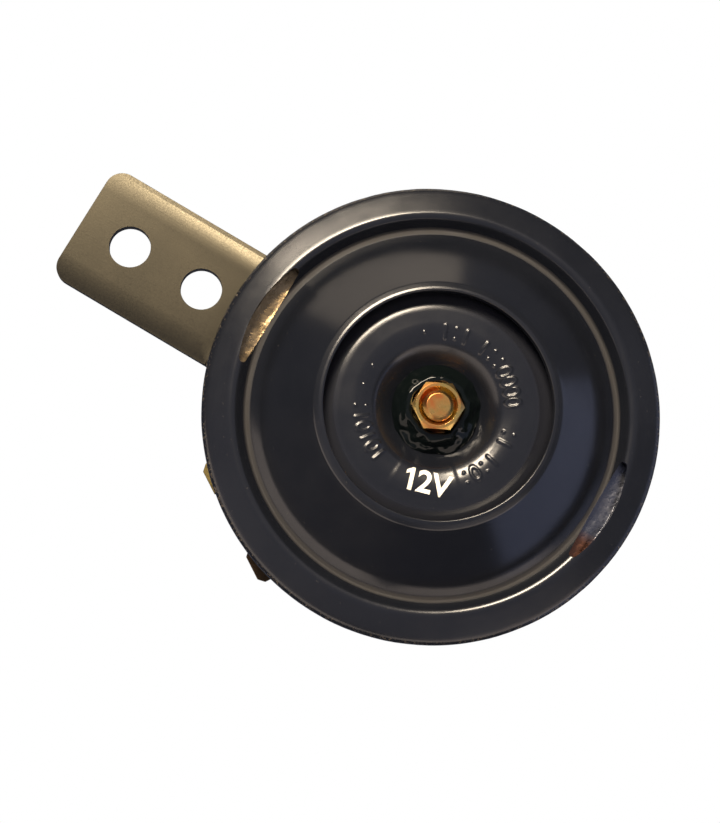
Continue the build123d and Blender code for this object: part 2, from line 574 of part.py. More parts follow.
with BuildPart() as contact_strap:
    riser = -HOLDER_HALF - STRAP
    block(CONTACT_FACE, HOLDER_TOP, HOLDER_TOP + STRAP, HOLDER_NEAR, HOLDER_FAR, riser, HOLDER_HALF)
    block(CONTACT_FACE, STRAP_FOOT, HOLDER_TOP, STRAP_NEAR, HOLDER_FAR, riser, -HOLDER_HALF)
    block(CONTACT_FACE, STRAP_FOOT, STRAP_FOOT + STRAP, STRAP_NEAR, HOLDER_FAR, STRAP_END, riser)
    for place in PEG_PLACES:
        bore(CONTACT_FACE, HOLDER_TOP, HOLDER_TOP + STRAP, PEG_RADIUS + FIT, place)
    bore(CONTACT_FACE, HOLDER_TOP, HOLDER_TOP + STRAP, PIN_RADIUS + PIN_CLEAR, (ADJUST_POINT, 0))
    bore(TERMINAL_FACE, STRAP_FOOT, STRAP_FOOT + STRAP, RIVET_RADIUS + FIT, RIVET_PLACES[1])
contact_strap.part.label = "contact_strap"
export_step(contact_strap.part, "parts/contact_strap.step")

with BuildPart() as contact_leaf:
    leaf_bottom = LEAF_TOP - LEAF
    block(CONTACT_FACE, leaf_bottom, LEAF_TOP, LEAF_TIP, HOLDER_FAR, -LEAF_HALF, LEAF_HALF)
    block(CONTACT_FACE, leaf_bottom, LEAF_TOP, HOLDER_NEAR, HOLDER_FAR, -HOLDER_HALF, HOLDER_HALF)
    for place in PEG_PLACES:
        bore(CONTACT_FACE, leaf_bottom, LEAF_TOP, PEG_RADIUS + FIT, place)
    bore(CONTACT_FACE, leaf_bottom, LEAF_TOP, PIN_RADIUS + PIN_CLEAR, (ADJUST_POINT, 0))
    bore(CONTACT_FACE, leaf_bottom, LEAF_TOP, SHANK_RADIUS + FIT, (CONTACT_POINT, 0))
    bore(CONTACT_FACE, leaf_bottom, LEAF_TOP, SHANK_RADIUS + FIT, (BUTTON_POINT, 0))
contact_leaf.part.label = "contact_leaf"
export_step(contact_leaf.part, "parts/contact_leaf.step")

with BuildPart() as moving_contact:
    at = (CONTACT_POINT, 0)
    tube(CONTACT_FACE, LEAF_TOP, LEAF_TOP + CONTACT_HEAD, CONTACT_RADIUS, at=at)
    tube(CONTACT_FACE, leaf_bottom, LEAF_TOP, SHANK_RADIUS, at=at)
    tube(CONTACT_FACE, leaf_bottom - CLENCH, leaf_bottom, CLENCH_RADIUS, at=at)
moving_contact.part.label = "moving_contact"
export_step(moving_contact.part, "parts/moving_contact.step")

with BuildPart() as leaf_button:
    at = (BUTTON_POINT, 0)
    tube(CONTACT_FACE, LEAF_TOP, ARMATURE_BOTTOM - BUTTON_GAP, BUTTON_RADIUS, at=at)
    tube(CONTACT_FACE, leaf_bottom, LEAF_TOP, SHANK_RADIUS, at=at)
    tube(CONTACT_FACE, leaf_bottom - CLENCH, leaf_bottom, CLENCH_RADIUS, at=at)
leaf_button.part.label = "leaf_button"
export_step(leaf_button.part, "parts/leaf_button.step")

with BuildPart() as contact_spacer:
    block(CONTACT_FACE, LEAF_TOP, ARM_BOTTOM, HOLDER_NEAR, HOLDER_FAR, -HOLDER_HALF, HOLDER_HALF)
    for place in PEG_PLACES:
        bore(CONTACT_FACE, LEAF_TOP, ARM_BOTTOM, PEG_RADIUS + FIT, place)
    bore(CONTACT_FACE, LEAF_TOP, ARM_BOTTOM, PIN_RADIUS + FIT, (ADJUST_POINT, 0))
contact_spacer.part.label = "contact_spacer"
export_step(contact_spacer.part, "parts/contact_spacer.step")

with BuildPart() as contact_arm:
    block(CONTACT_FACE, ARM_BOTTOM, ARM_TOP, ARM_TIP, HOLDER_FAR, -LEAF_HALF, LEAF_HALF)
    block(CONTACT_FACE, ARM_BOTTOM, ARM_TOP, HOLDER_NEAR, HOLDER_FAR, -HOLDER_HALF, HOLDER_HALF)
    # solder tag, bent down beside the holder
    block(CONTACT_FACE, ARM_BOTTOM, ARM_TOP, TAG_NEAR, TAG_FAR, LEAF_HALF, TAG_START + ARM)
    block(CONTACT_FACE, TAG_BOTTOM, ARM_TOP, TAG_NEAR, TAG_FAR, TAG_START, TAG_START + ARM)
    for place in PEG_PLACES:
        bore(CONTACT_FACE, ARM_BOTTOM, ARM_TOP, PEG_RADIUS + FIT, place)
    bore(CONTACT_FACE, ARM_BOTTOM, ARM_TOP, SHANK_RADIUS + FIT, (CONTACT_POINT, 0))
contact_arm.part.label = "contact_arm"
export_step(contact_arm.part, "parts/contact_arm.step")

with BuildPart() as fixed_contact:
    at = (CONTACT_POINT, 0)
    tube(CONTACT_FACE, LEAF_TOP + CONTACT_HEAD + CLOSED_GAP, ARM_BOTTOM, CONTACT_RADIUS, at=at)
    tube(CONTACT_FACE, ARM_BOTTOM, ARM_TOP, SHANK_RADIUS, at=at)
    tube(CONTACT_FACE, ARM_TOP, ARM_TOP + CLENCH, CLENCH_RADIUS, at=at)
fixed_contact.part.label = "fixed_contact"
export_step(fixed_contact.part, "parts/fixed_contact.step")

with BuildPart() as adjusting_pin:
    tube(CONTACT_FACE, PIN_FOOT, ARM_BOTTOM, PIN_RADIUS, at=(ADJUST_POINT, 0))
adjusting_pin.part.label = "adjusting_pin"
export_step(adjusting_pin.part, "parts/adjusting_pin.step")

with BuildPart() as adjusting_bush:
    tube(CONTACT_FACE, BUSH_BACK, BASE_HEIGHT, BUSH_RADIUS, at=(ADJUST_POINT, 0))
    tube(CONTACT_FACE, BASE_HEIGHT, BASE_INSIDE + BUSH_NECK, BUSH_NECK_RADIUS, at=(ADJUST_POINT, 0))
    bore(CONTACT_FACE, BUSH_BACK, BASE_INSIDE + BUSH_NECK, SCREW_RADIUS + FIT, (ADJUST_POINT, 0))
adjusting_bush.part.label = "adjusting_bush"
export_step(adjusting_bush.part, "parts/adjusting_bush.step")

with BuildPart() as adjusting_screw:
    tube(CONTACT_FACE, SCREW_END, PIN_FOOT, SCREW_RADIUS, at=(ADJUST_POINT, 0))
    chamfer(adjusting_screw.edges().filter_by(GeomType.CIRCLE), SCREW_CHAMFER)
    block(
        CONTACT_FACE,
        SCREW_END,
        SCREW_END + DRIVER_DEPTH,
        ADJUST_POINT - SCREW_RADIUS,
        ADJUST_POINT + SCREW_RADIUS,
        -DRIVER_SLOT / 2,
        DRIVER_SLOT / 2,
        mode=Mode.SUBTRACT,
    )
adjusting_screw.part.label = "adjusting_screw"
export_step(adjusting_screw.part, "parts/adjusting_screw.step")

with BuildPart() as lock_nut:
    hex_nut(
        CONTACT_FACE,
        BUSH_BACK - LOCK_NUT,
        BUSH_BACK,
        LOCK_NUT_FLATS,
        SCREW_RADIUS + FIT,
        at=(ADJUST_POINT, 0),
    )
lock_nut.part.label = "lock_nut"
export_step(lock_nut.part, "parts/lock_nut.step")

# --- terminals -------------------------------------------------------------------------------
with BuildPart() as outer_insulator:
    with BuildSketch(TERMINAL_FACE.offset(INSULATOR_BACK)) as plate:
        with Locations((TERMINAL_POINT, 0)):
            SlotCenterToCenter(2 * TERMINAL_OFFSET, INSULATOR_WIDTH, rotation=90)
    extrude(plate.sketch, amount=INSULATOR)
    for place in RIVET_PLACES:
        tube(TERMINAL_FACE, BASE_HEIGHT, BASE_INSIDE, BOSS_RADIUS, at=place)
        bore(TERMINAL_FACE, INSULATOR_BACK, BASE_INSIDE, RIVET_RADIUS + FIT, place)
outer_insulator.part.label = "outer_insulator"
export_step(outer_insulator.part, "parts/outer_insulator.step")

with BuildPart() as inner_insulator:
    with BuildSketch(TERMINAL_FACE.offset(BASE_INSIDE)) as plate:
        with Locations((TERMINAL_POINT, 0)):
            SlotCenterToCenter(2 * TERMINAL_OFFSET, INNER_WIDTH, rotation=90)
    extrude(plate.sketch, amount=INNER_INSULATOR)
    for place in RIVET_PLACES:
        bore(TERMINAL_FACE, BASE_INSIDE, STRAP_FOOT, RIVET_RADIUS + FIT, place)
inner_insulator.part.label = "inner_insulator"
export_step(inner_insulator.part, "parts/inner_insulator.step")

# each rivet clamps its tab, both insulators and, on one side, the foot of the contact strap
for number, place, inner_face in ((1, RIVET_PLACES[0], STRAP_FOOT), (2, RIVET_PLACES[1], STRAP_FOOT + STRAP)):
    with BuildPart() as terminal:
        tab_near = TERMINAL_POINT - RIVET_HEAD_RADIUS - TAB_MARGIN
        low, high = place[1] - TAB_WIDTH / 2, place[1] + TAB_WIDTH / 2
        block(TERMINAL_FACE, TAB_BACK, INSULATOR_BACK, tab_near, TAB_TIP, low, high)
        corners = terminal.edges().filter_by(Axis.Y).sort_by(TERMINAL_FACE.location.x_axis)
        chamfer(corners[-2:], TAB_CHAMFER)
        bore(TERMINAL_FACE, TAB_BACK, INSULATOR_BACK, RIVET_RADIUS + FIT, place)
        bore(TERMINAL_FACE, TAB_BACK, INSULATOR_BACK, TAB_HOLE_RADIUS, (TAB_TIP - TAB_HOLE_INSET, place[1]))
    terminal.part.label = f"terminal_{number}"
    export_step(terminal.part, f"parts/terminal_{number}.step")

    with BuildPart() as terminal_rivet:
        tube(TERMINAL_FACE, TAB_BACK - RIVET_HEAD, TAB_BACK, RIVET_HEAD_RADIUS, at=place)
        tube(TERMINAL_FACE, TAB_BACK, inner_face, RIVET_RADIUS, at=place)
        tube(TERMINAL_FACE, inner_face, inner_face + RIVET_HEAD, RIVET_HEAD_RADIUS, at=place)
    terminal_rivet.part.label = f"terminal_rivet_{number}"
    export_step(terminal_rivet.part, f"parts/terminal_rivet_{number}.step")

# --- bracket and its fastening ---------------------------------------------------------------
BRACKET_TOP = BOLT_SPACING / 2 + BOLT_MARGIN
BRACKET_BOTTOM = -AXIS_DROP - BRACKET_WIDTH / 2
JOGGLE_LOW = -AXIS_DROP + JOGGLE_START
SEAT_Y = RIM_PLANE_Y - BASE_HEIGHT              # row Y of the housing's base
FRONT_Y = RIM_PLANE_Y - BRACKET_FACE            # row Y of the forward part's front face

with BuildPart() as mounting_bracket:
    with BuildSketch(Plane.YZ.offset(-BRACKET_WIDTH / 2)) as side_profile:
        with BuildLine():
            FilletPolyline(
                (SEAT_Y, BRACKET_BOTTOM),
                (SEAT_Y, JOGGLE_LOW),
                (FRONT_Y, JOGGLE_LOW + JOGGLE_RUN),
                (FRONT_Y, BRACKET_TOP),
                radius=[JOGGLE_BEND + BRACKET, JOGGLE_BEND],
            )
            offset(amount=BRACKET, side=Side.RIGHT, closed=True)
        make_face()
    extrude(side_profile.sketch, amount=BRACKET_WIDTH)
    with BuildSketch(Plane.XZ.offset(-SEAT_Y - BRACKET)) as front_outline:
        with BuildLine():
            half = BRACKET_WIDTH / 2
            Line((-half, BRACKET_TOP), (half, BRACKET_TOP))
            Line((half, BRACKET_TOP), (half, -AXIS_DROP))
            ThreePointArc((half, -AXIS_DROP), (0, -AXIS_DROP - half), (-half, -AXIS_DROP))
            Line((-half, -AXIS_DROP), (-half, BRACKET_TOP))
        make_face()
        fillet(front_outline.vertices().group_by(Axis.Y)[-1], BRACKET_CORNER)
    extrude(front_outline.sketch, amount=SEAT_Y - FRONT_Y + 2 * BRACKET, mode=Mode.INTERSECT)
    with BuildSketch(Plane.XZ.offset(-BRACKET)) as bolt_holes:
        with GridLocations(0, BOLT_SPACING, 1, 2):
            Circle(BOLT_RADIUS)
    extrude(bolt_holes.sketch, amount=2 * BRACKET, mode=Mode.SUBTRACT)
    bore(FACE, BRACKET_BACK, BASE_HEIGHT, REAR_STUD_RADIUS + FIT)
mounting_bracket.part.label = "mounting_bracket"
export_step(mounting_bracket.part, "parts/mounting_bracket.step")

with BuildPart() as rear_washer:
    tube(FACE, BRACKET_BACK - REAR_WASHER, BRACKET_BACK, REAR_WASHER_RADIUS, REAR_STUD_RADIUS + FIT)
rear_washer.part.label = "rear_washer"
export_step(rear_washer.part, "parts/rear_washer.step")

with BuildPart() as spring_washer:
    washer_front = BRACKET_BACK - REAR_WASHER
    tube(FACE, SPRING_WASHER_BACK, washer_front, SPRING_WASHER_RADIUS, REAR_STUD_RADIUS + FIT)
    split = SPRING_WASHER_SPLIT / 2
    block(FACE, SPRING_WASHER_BACK, washer_front, 0, SPRING_WASHER_RADIUS, -split, split, mode=Mode.SUBTRACT)
spring_washer.part.label = "spring_washer"
export_step(spring_washer.part, "parts/spring_washer.step")

with BuildPart() as rear_nut:
    hex_nut(FACE, REAR_NUT_BACK, SPRING_WASHER_BACK, REAR_NUT_FLATS, REAR_STUD_RADIUS + FIT)
rear_nut.part.label = "rear_nut"
export_step(rear_nut.part, "parts/rear_nut.step")
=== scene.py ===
"""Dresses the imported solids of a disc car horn: enamelled case, tone disc, fastening, bracket and stage."""
import json
import math

import bmesh
import bpy
from bpy.props import FloatProperty, FloatVectorProperty, IntProperty, PointerProperty
from mathutils import Matrix, Vector, noise
from mathutils.bvhtree import BVHTree


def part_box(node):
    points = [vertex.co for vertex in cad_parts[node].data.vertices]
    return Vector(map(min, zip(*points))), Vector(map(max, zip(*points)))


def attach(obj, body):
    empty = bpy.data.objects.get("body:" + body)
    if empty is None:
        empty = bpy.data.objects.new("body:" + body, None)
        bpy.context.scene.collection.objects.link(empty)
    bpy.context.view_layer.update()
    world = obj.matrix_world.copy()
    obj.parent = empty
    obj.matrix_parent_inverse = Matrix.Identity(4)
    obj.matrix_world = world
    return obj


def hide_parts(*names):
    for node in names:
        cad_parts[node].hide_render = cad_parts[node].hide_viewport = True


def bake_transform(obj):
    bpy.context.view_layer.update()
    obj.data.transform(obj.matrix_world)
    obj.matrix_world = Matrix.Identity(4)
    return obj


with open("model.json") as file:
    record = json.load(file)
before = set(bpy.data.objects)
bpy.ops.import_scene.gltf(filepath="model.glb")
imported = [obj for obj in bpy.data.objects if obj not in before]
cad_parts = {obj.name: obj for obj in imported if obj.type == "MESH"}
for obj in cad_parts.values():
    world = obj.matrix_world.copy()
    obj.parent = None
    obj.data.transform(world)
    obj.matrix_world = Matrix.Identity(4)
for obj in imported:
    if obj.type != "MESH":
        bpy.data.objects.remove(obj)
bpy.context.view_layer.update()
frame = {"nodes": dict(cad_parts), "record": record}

bl_info = {
    "name": "Disc Car Horn",
    "version": (1, 0, 0),
    "blender": (4, 5, 0),
    "location": "3D View > Sidebar > Car Horn",
    "description": "Dresses the solids of a disc car horn with its finishes and lights it",
    "category": "Object",
}

MM = 0.001
CASE, MOVING, LEAF = "horn", "armature_set", "leaf_set"
# the material slot of each node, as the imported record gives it
SLOTS = {row["node"]: row["material_slot"] for row in frame["record"]["subparts"]}
# A piece is drawn in millimetres in face space: x and y across the horn's face, z out of the
# front, with z = 0 on the plane of the clamped rim. PLACE takes it to the frame.
RIM_Y, AXIS_Z = -0.0123, -0.051
PLACE = Matrix(((MM, 0, 0, 0), (0, 0, -MM, RIM_Y), (0, MM, 0, AXIS_Z), (0, 0, 0, 1)))
HUB = (0.0, RIM_Y, AXIS_Z)
# segments of a bend in the sheet, and the angle in degrees past which an edge stays sharp
BEND_STEPS = 7
SHARP = 35.0
# the stage, in metres: the lamps' distance, the floor's radius and level; the second wall's share
LAMP_AWAY, FLOOR_RADIUS, FLOOR_LEVEL = 0.9, 4.0, -0.5
SECOND_WALL = 0.62


# --- sizes and colours -------------------------------------------------------------------------
def colour(code):
    """Linear colour, with alpha, from an sRGB hex code."""
    parts = [int(code[place:place + 2], 16) / 255 for place in (1, 3, 5)]
    linear = [c / 12.92 if c <= 0.04045 else ((c + 0.055) / 1.055) ** 2.4 for c in parts]
    return (*linear, 1.0)


def size_property(name, description, default):
    """A length in metres."""
    return FloatProperty(
        name=name,
        description=description,
        default=default,
        min=0.0,
        subtype="DISTANCE",
        unit="LENGTH",
        precision=5,
    )


def colour_property(name, description, code):
    """A colour from its sRGB hex code."""
    return FloatVectorProperty(
        name=name,
        description=description,
        default=colour(code),
        size=4,
        min=0.0,
        max=1.0,
        subtype="COLOR",
    )


def power_property(name, description, default):
    """A lamp's power in watts."""
    return FloatProperty(name=name, description=description, default=default, min=0.0, unit="POWER")


class HornSizes(bpy.types.PropertyGroup):
    """Sizes of the pressed case and its small parts"""

    sheet: size_property("Case sheet", "Thickness of the cover, housing and tone disc", 0.0008)
    foil: size_property("Diaphragm sheet", "Thickness of the spring steel diaphragm", 0.00025)
    softened: size_property("Softened edge", "Width of the worn edge on punched and turned parts", 0.00022)
    crimp_wave: size_property("Crimp waviness", "How far the rolled rim strays from a true circle", 0.00007)
    mark_height: size_property("Mark height", "How far the embossed marks stand off the tone disc", 0.00016)
    mark_length: size_property("Mark length", "Length of an embossed mark, across the ring", 0.0028)
    mark_ring: size_property("Mark ring", "Radius of the ring of embossed marks", 0.0121)
    print_height: size_property("Print height", "Height of the printed voltage mark", 0.0037)
    marks: IntProperty(
        name="Marks", description="Places in the ring of embossed marks", default=45, min=8, max=60
    )
    steps: IntProperty(
        name="Steps", description="Segments round a spun part", default=256, min=48, max=720
    )


class HornColours(bpy.types.PropertyGroup):
    """Colours of the finishes"""

    enamel: colour_property("Enamel", "Baked enamel of the case", "#121419")
    enamel_worn: colour_property("Enamel, thin", "Enamel where it lies thin", "#15171C")
    film: colour_property("Road film", "Dry film in the foot of the groove", "#3B3835")
    rubbed: colour_property("Rubbed rim", "Specks where the rim's enamel is rubbed through", "#8A7E6A")
    printing: colour_property("Printing", "Ink of the voltage mark", "#F7F3E6")
    bracket: colour_property("Bracket", "Plated steel of the bracket", "#4C473B")
    bracket_dark: colour_property("Bracket, dark", "Darker patches of the bracket's plating", "#312F29")
    gold: colour_property("Gold", "Yellow zinc where it is palest", "#C9AC66")
    orange: colour_property("Orange", "Yellow zinc where it is deepest", "#B0693A")
    lacquer: colour_property("Lacquer", "Sealing lacquer round the front nut", "#0B0F10")
    zinc: colour_property("Zinc", "Bright zinc plate", "#BDBDB8")
    spring_steel: colour_property("Spring steel", "Rolled steel of the diaphragm", "#A48E6C")
    # the colour the diaphragm turns to towards the bottom: darker and bluer
    bluer_below: colour_property("Blued steel", "Lower part of the diaphragm", "#5A6270")
    stain: colour_property("Rust stain", "Stained edge of the diaphragm", "#7A5038")
    brass: colour_property("Brass", "Terminal brass", "#8A7A4C")
    bronze: colour_property("Bronze", "Spring bronze and the darker terminal", "#5E4A33")


class HornLights(bpy.types.PropertyGroup):
    """Strength of the lamps and of the room"""

    key: power_property("Key", "Warm window light, high on one side", 16.9)
    low: power_property("Low", "Warm light from low on the same side", 2.0)
    wall: power_property("Wall", "Each brown wall across the horn", 3.5)
    side: power_property("Side", "Cool light low on the other side", 2.55)
    front: power_property("Front", "Dim light round the camera", 3.05)
    room: FloatProperty(
        name="Room", description="Light of the room all round", default=0.125, min=0.0
    )


# --- materials ---------------------------------------------------------------------------------
def per(width_mm):
    """Scale of a pattern whose features are this wide, on Object coordinates in metres."""
    return 1.0 / (width_mm * MM)


def add_node(tree, kind, inputs=None, output=None, **settings):
    """Adds a node; an input that is a socket is linked and any other is set. Gives an output, or the node."""
    node = tree.nodes.new(kind)
    for name, value in settings.items():
        setattr(node, name, value)
    for key, value in (inputs or {}).items():
        if isinstance(value, bpy.types.NodeSocket):
            tree.links.new(value, node.inputs[key])
        else:
            node.inputs[key].default_value = value
    return node if output is None else node.outputs[output]


def from_hub(tree, stretch=(1.0, 1.0, 1.0)):
    """Object coordinates centred on the hub, for a pattern drawn out along the axes by these factors."""
    place = add_node(tree, "ShaderNodeTexCoord", output="Object")
    return add_node(
        tree,
        "ShaderNodeMapping",
        {"Vector": place, "Location": [-c for c in HUB], "Scale": [1 / s for s in stretch]},
        "Vector",
    )


def new_finish(name, **sockets):
    """A material with one principled shader: the material, its tree, its shader and a place for patterns."""
    made = bpy.data.materials.new(name)
    made.use_nodes = True
    tree = made.node_tree
    shader = tree.nodes["Principled BSDF"]
    for key, value in sockets.items():
        shader.inputs[key.replace("_", " ")].default_value = value
    return made, tree, shader, from_hub(tree)


def patches(tree, pattern, tones, edges=(0.35, 0.7), most=1.0):
    """Colour that turns from the first tone to the second where a pattern passes between two edges."""
    share = add_node(
        tree,
        "ShaderNodeMapRange",
        {"Value": pattern, "From Min": edges[0], "From Max": edges[1], "To Max": most},
        "Result",
    )
    return add_node(tree, "ShaderNodeMix", {0: share, 6: tones[0], 7: tones[1]}, 2, data_type="RGBA")


def roughen(tree, shader, pattern, rough, rise_mm, relief=None):
    """Lets one pattern set the gloss and a relief this many millimetres high; a relief given changes that."""
    gloss = {"Value": pattern, "From Min": 0.3, "From Max": 0.7, "To Min": rough[0], "To Max": rough[1]}
    tree.links.new(add_node(tree, "ShaderNodeMapRange", gloss, "Result"), shader.inputs["Roughness"])
    raised = {"Height": pattern, "Distance": rise_mm * MM, **(relief or {})}
    tree.links.new(add_node(tree, "ShaderNodeBump", raised, "Normal"), shader.inputs["Normal"])


def radius_on_face(tree, place):
    """Distance from the horn's axis."""
    flat = add_node(tree, "ShaderNodeVectorMath", {0: place, 1: (1, 0, 1)}, 0, operation="MULTIPLY")
    return add_node(tree, "ShaderNodeVectorMath", {0: flat}, "Value", operation="LENGTH")


def baked_black_enamel(name="baked_black_enamel", wear=None):
    """Stoving enamel, sprayed and baked: a deep gloss black with faint orange peel and a little dust."""
    hues = bpy.context.scene.horn_colours
    made, tree, shader, place = new_finish(name, Metallic=0.0, IOR=1.5)
    tone = add_node(tree, "ShaderNodeTexNoise", {"Vector": place, "Scale": per(9.0), "Detail": 3.0}, "Fac")
    base = patches(tree, tone, (hues.enamel, hues.enamel_worn))
    dust = add_node(tree, "ShaderNodeTexNoise", {"Vector": place, "Scale": per(0.35), "Detail": 0.0}, "Fac")
    base = patches(tree, dust, (base, colour("#6A665E")), (0.85, 0.88), 0.16)
    # orange peel: waves about 1.1 mm wide and a few microns high
    waves = add_node(tree, "ShaderNodeTexNoise", {"Vector": place, "Scale": per(1.1), "Detail": 1.0}, "Fac")
    peel = add_node(tree, "ShaderNodeBump", {"Height": waves, "Distance": 0.004 * MM}, "Normal")
    uneven = add_node(
        tree,
        "ShaderNodeTexNoise",
        {"Vector": place, "Scale": per(5.0), "Detail": 4.0, "Roughness": 0.6},
        "Fac",
    )
    gloss = add_node(
        tree,
        "ShaderNodeMapRange",
        {"Value": uneven, "From Min": 0.3, "From Max": 0.7, "To Min": 0.19, "To Max": 0.25},
        "Result",
    )
    # the added layer is road film and rubbed specks on the cover, and painted fill light on the tone disc
    if wear:
        base, gloss, peel = wear(tree, place, base, gloss, peel)
    tree.links.new(base, shader.inputs["Base Color"])
    tree.links.new(gloss, shader.inputs["Roughness"])
    tree.links.new(peel, shader.inputs["Normal"])
    return made


def painted_fill_in_gutter(tree, place, base, gloss, peel):
    """Painted fill light: a lighter grey on the tone disc's edge, between it and the lip of the cover, where
    the lip's shadow falls.
    """
    gutter = radius_on_face(tree, place)
    return patches(tree, gutter, (base, colour("#2A2B31")), (0.0156, 0.0172), 0.6), gloss, peel


def road_wear(tree, place, base, gloss, peel):
    """Road film in the cover's groove, and a rim that is rubbed and puckered."""
    hues = bpy.context.scene.horn_colours
    reach = radius_on_face(tree, place)
    # the film settles in the foot of the groove, about a millimetre wide, in patches
    inner = add_node(
        tree, "ShaderNodeMapRange", {"Value": reach, "From Min": 0.0295, "From Max": 0.0299}, "Result"
    )
    outer = add_node(
        tree,
        "ShaderNodeMapRange",
        {"Value": reach, "From Min": 0.0305, "From Max": 0.0308, "To Min": 1.0, "To Max": 0.0},
        "Result",
    )
    cloud = add_node(tree, "ShaderNodeTexNoise", {"Vector": place, "Scale": per(2.5), "Detail": 3.0}, "Fac")
    thickness = add_node(
        tree,
        "ShaderNodeMapRange",
        {"Value": cloud, "From Min": 0.2, "From Max": 0.8, "To Min": 0.45, "To Max": 0.75},
        "Result",
    )
    ring = add_node(tree, "ShaderNodeMath", {0: inner, 1: outer}, 0, operation="MULTIPLY")
    film = add_node(tree, "ShaderNodeMath", {0: ring, 1: thickness}, 0, operation="MULTIPLY")
    base = add_node(tree, "ShaderNodeMix", {0: film, 6: base, 7: hues.film}, 2, data_type="RGBA")
    gloss = add_node(tree, "ShaderNodeMath", {0: gloss, 1: film}, 0, operation="ADD")
    # the enamel is rubbed through in specks along the rolled rim
    near_rim = add_node(
        tree, "ShaderNodeMapRange", {"Value": reach, "From Min": 0.0368, "From Max": 0.0372}, "Result"
    )
    fine = add_node(
        tree,
        "ShaderNodeTexNoise",
        {"Vector": place, "Scale": per(0.45), "Detail": 2.0, "Roughness": 0.6},
        "Fac",
    )
    bare = add_node(
        tree,
        "ShaderNodeMapRange",
        {"Value": fine, "From Min": 0.56, "From Max": 0.66, "To Max": 0.4},
        "Result",
    )
    specks = add_node(tree, "ShaderNodeMath", {0: near_rim, 1: bare}, 0, operation="MULTIPLY")
    base = add_node(tree, "ShaderNodeMix", {0: specks, 6: base, 7: hues.rubbed}, 2, data_type="RGBA")
    # the sheet puckers where it is rolled over the rim, so the gloss breaks up there
    pucker = add_node(tree, "ShaderNodeMath", {0: near_rim, 1: fine}, 0, operation="MULTIPLY")
    relief = {"Height": pucker, "Distance": 0.05 * MM, "Normal": peel}
    return base, gloss, add_node(tree, "ShaderNodeBump", relief, "Normal")


def plated_bracket_steel():
    """Punched steel strip, zinc plated and passivated: satin, yellow-grey, with rolling grain."""
    hues = bpy.context.scene.horn_colours
    made, tree, shader, place = new_finish("plated_bracket_steel", Metallic=1.0)
    broad = add_node(tree, "ShaderNodeTexNoise", {"Vector": place, "Scale": per(16.0), "Detail": 2.0}, "Fac")
    fine = add_node(
        tree,
        "ShaderNodeTexNoise",
        {"Vector": place, "Scale": per(0.3), "Detail": 3.0, "Roughness": 0.7},
        "Fac",
    )
    base = patches(tree, broad, (hues.bracket, hues.bracket_dark), (0.25, 0.75), 0.5)
    base = patches(tree, fine, (base, hues.bracket_dark), (0.35, 0.75), 0.35)
    tree.links.new(base, shader.inputs["Base Color"])
    # rolling lines run along the strip, under the grain of the plating
    along = from_hub(tree, (1.0, 1.0, 9.0))
    rolled = add_node(
        tree,
        "ShaderNodeTexNoise",
        {"Vector": along, "Scale": per(0.18), "Detail": 2.0, "Roughness": 0.6},
        "Fac",
    )
    lines = add_node(tree, "ShaderNodeBump", {"Height": rolled, "Distance": 0.004 * MM}, "Normal")
    roughen(tree, shader, fine, (0.32, 0.44), 0.006, {"Normal": lines})
    return made


def yellow_zinc_plate():
    """Zinc plate with yellow chromate, barrel plated: gold that turns orange where the film is thick."""
    hues = bpy.context.scene.horn_colours
    made, tree, shader, place = new_finish("yellow_zinc_plate", Metallic=1.0)
    film = add_node(tree, "ShaderNodeTexNoise", {"Vector": place, "Scale": per(3.2), "Detail": 2.0}, "Fac")
    spots = add_node(tree, "ShaderNodeTexNoise", {"Vector": place, "Scale": per(0.5), "Detail": 2.0}, "Fac")
    dents = add_node(
        tree,
        "ShaderNodeTexNoise",
        {"Vector": place, "Scale": per(0.35), "Detail": 3.0, "Roughness": 0.6},
        "Fac",
    )
    base = patches(tree, film, (hues.gold, hues.orange), (0.4, 0.68))
    base = patches(tree, spots, (base, colour("#8C8A45")), (0.55, 0.75), 0.35)
    tree.links.new(base, shader.inputs["Base Color"])
    roughen(tree, shader, film, (0.2, 0.34), 0.008, {"Height": dents})
    return made


def metal(name, first, second, rough, width=1.5, rise=0.006, stretch=(1.0, 1.0, 1.0)):
    """Bare or plated metal with two tones, a grain this wide and a roughness range."""
    made, tree, shader, place = new_finish(name, Metallic=1.0)
    broad = {"Vector": place, "Scale": per(width * 4), "Detail": 3.0}
    tone = add_node(tree, "ShaderNodeTexNoise", broad, "Fac")
    line = {"Vector": from_hub(tree, stretch), "Scale": per(width), "Detail": 3.0, "Roughness": 0.6}
    tree.links.new(patches(tree, tone, (first, second)), shader.inputs["Base Color"])
    roughen(tree, shader, add_node(tree, "ShaderNodeTexNoise", line, "Fac"), rough, rise)
    return made


def plain_solid(name, first, second, rough, width=1.0, rise=0.01, **sockets):
    """Moulded, pressed or fibrous stuff with two tones and a fine texture."""
    made, tree, shader, place = new_finish(name, Metallic=0.0, **sockets)
    broad = {"Vector": place, "Scale": per(width * 5), "Detail": 3.0}
    tone = add_node(tree, "ShaderNodeTexNoise", broad, "Fac")
    fine = {"Vector": place, "Scale": per(width), "Detail": 3.0, "Roughness": 0.65}
    tree.links.new(patches(tree, tone, (first, second)), shader.inputs["Base Color"])
    roughen(tree, shader, add_node(tree, "ShaderNodeTexNoise", fine, "Fac"), rough, rise)
    return made


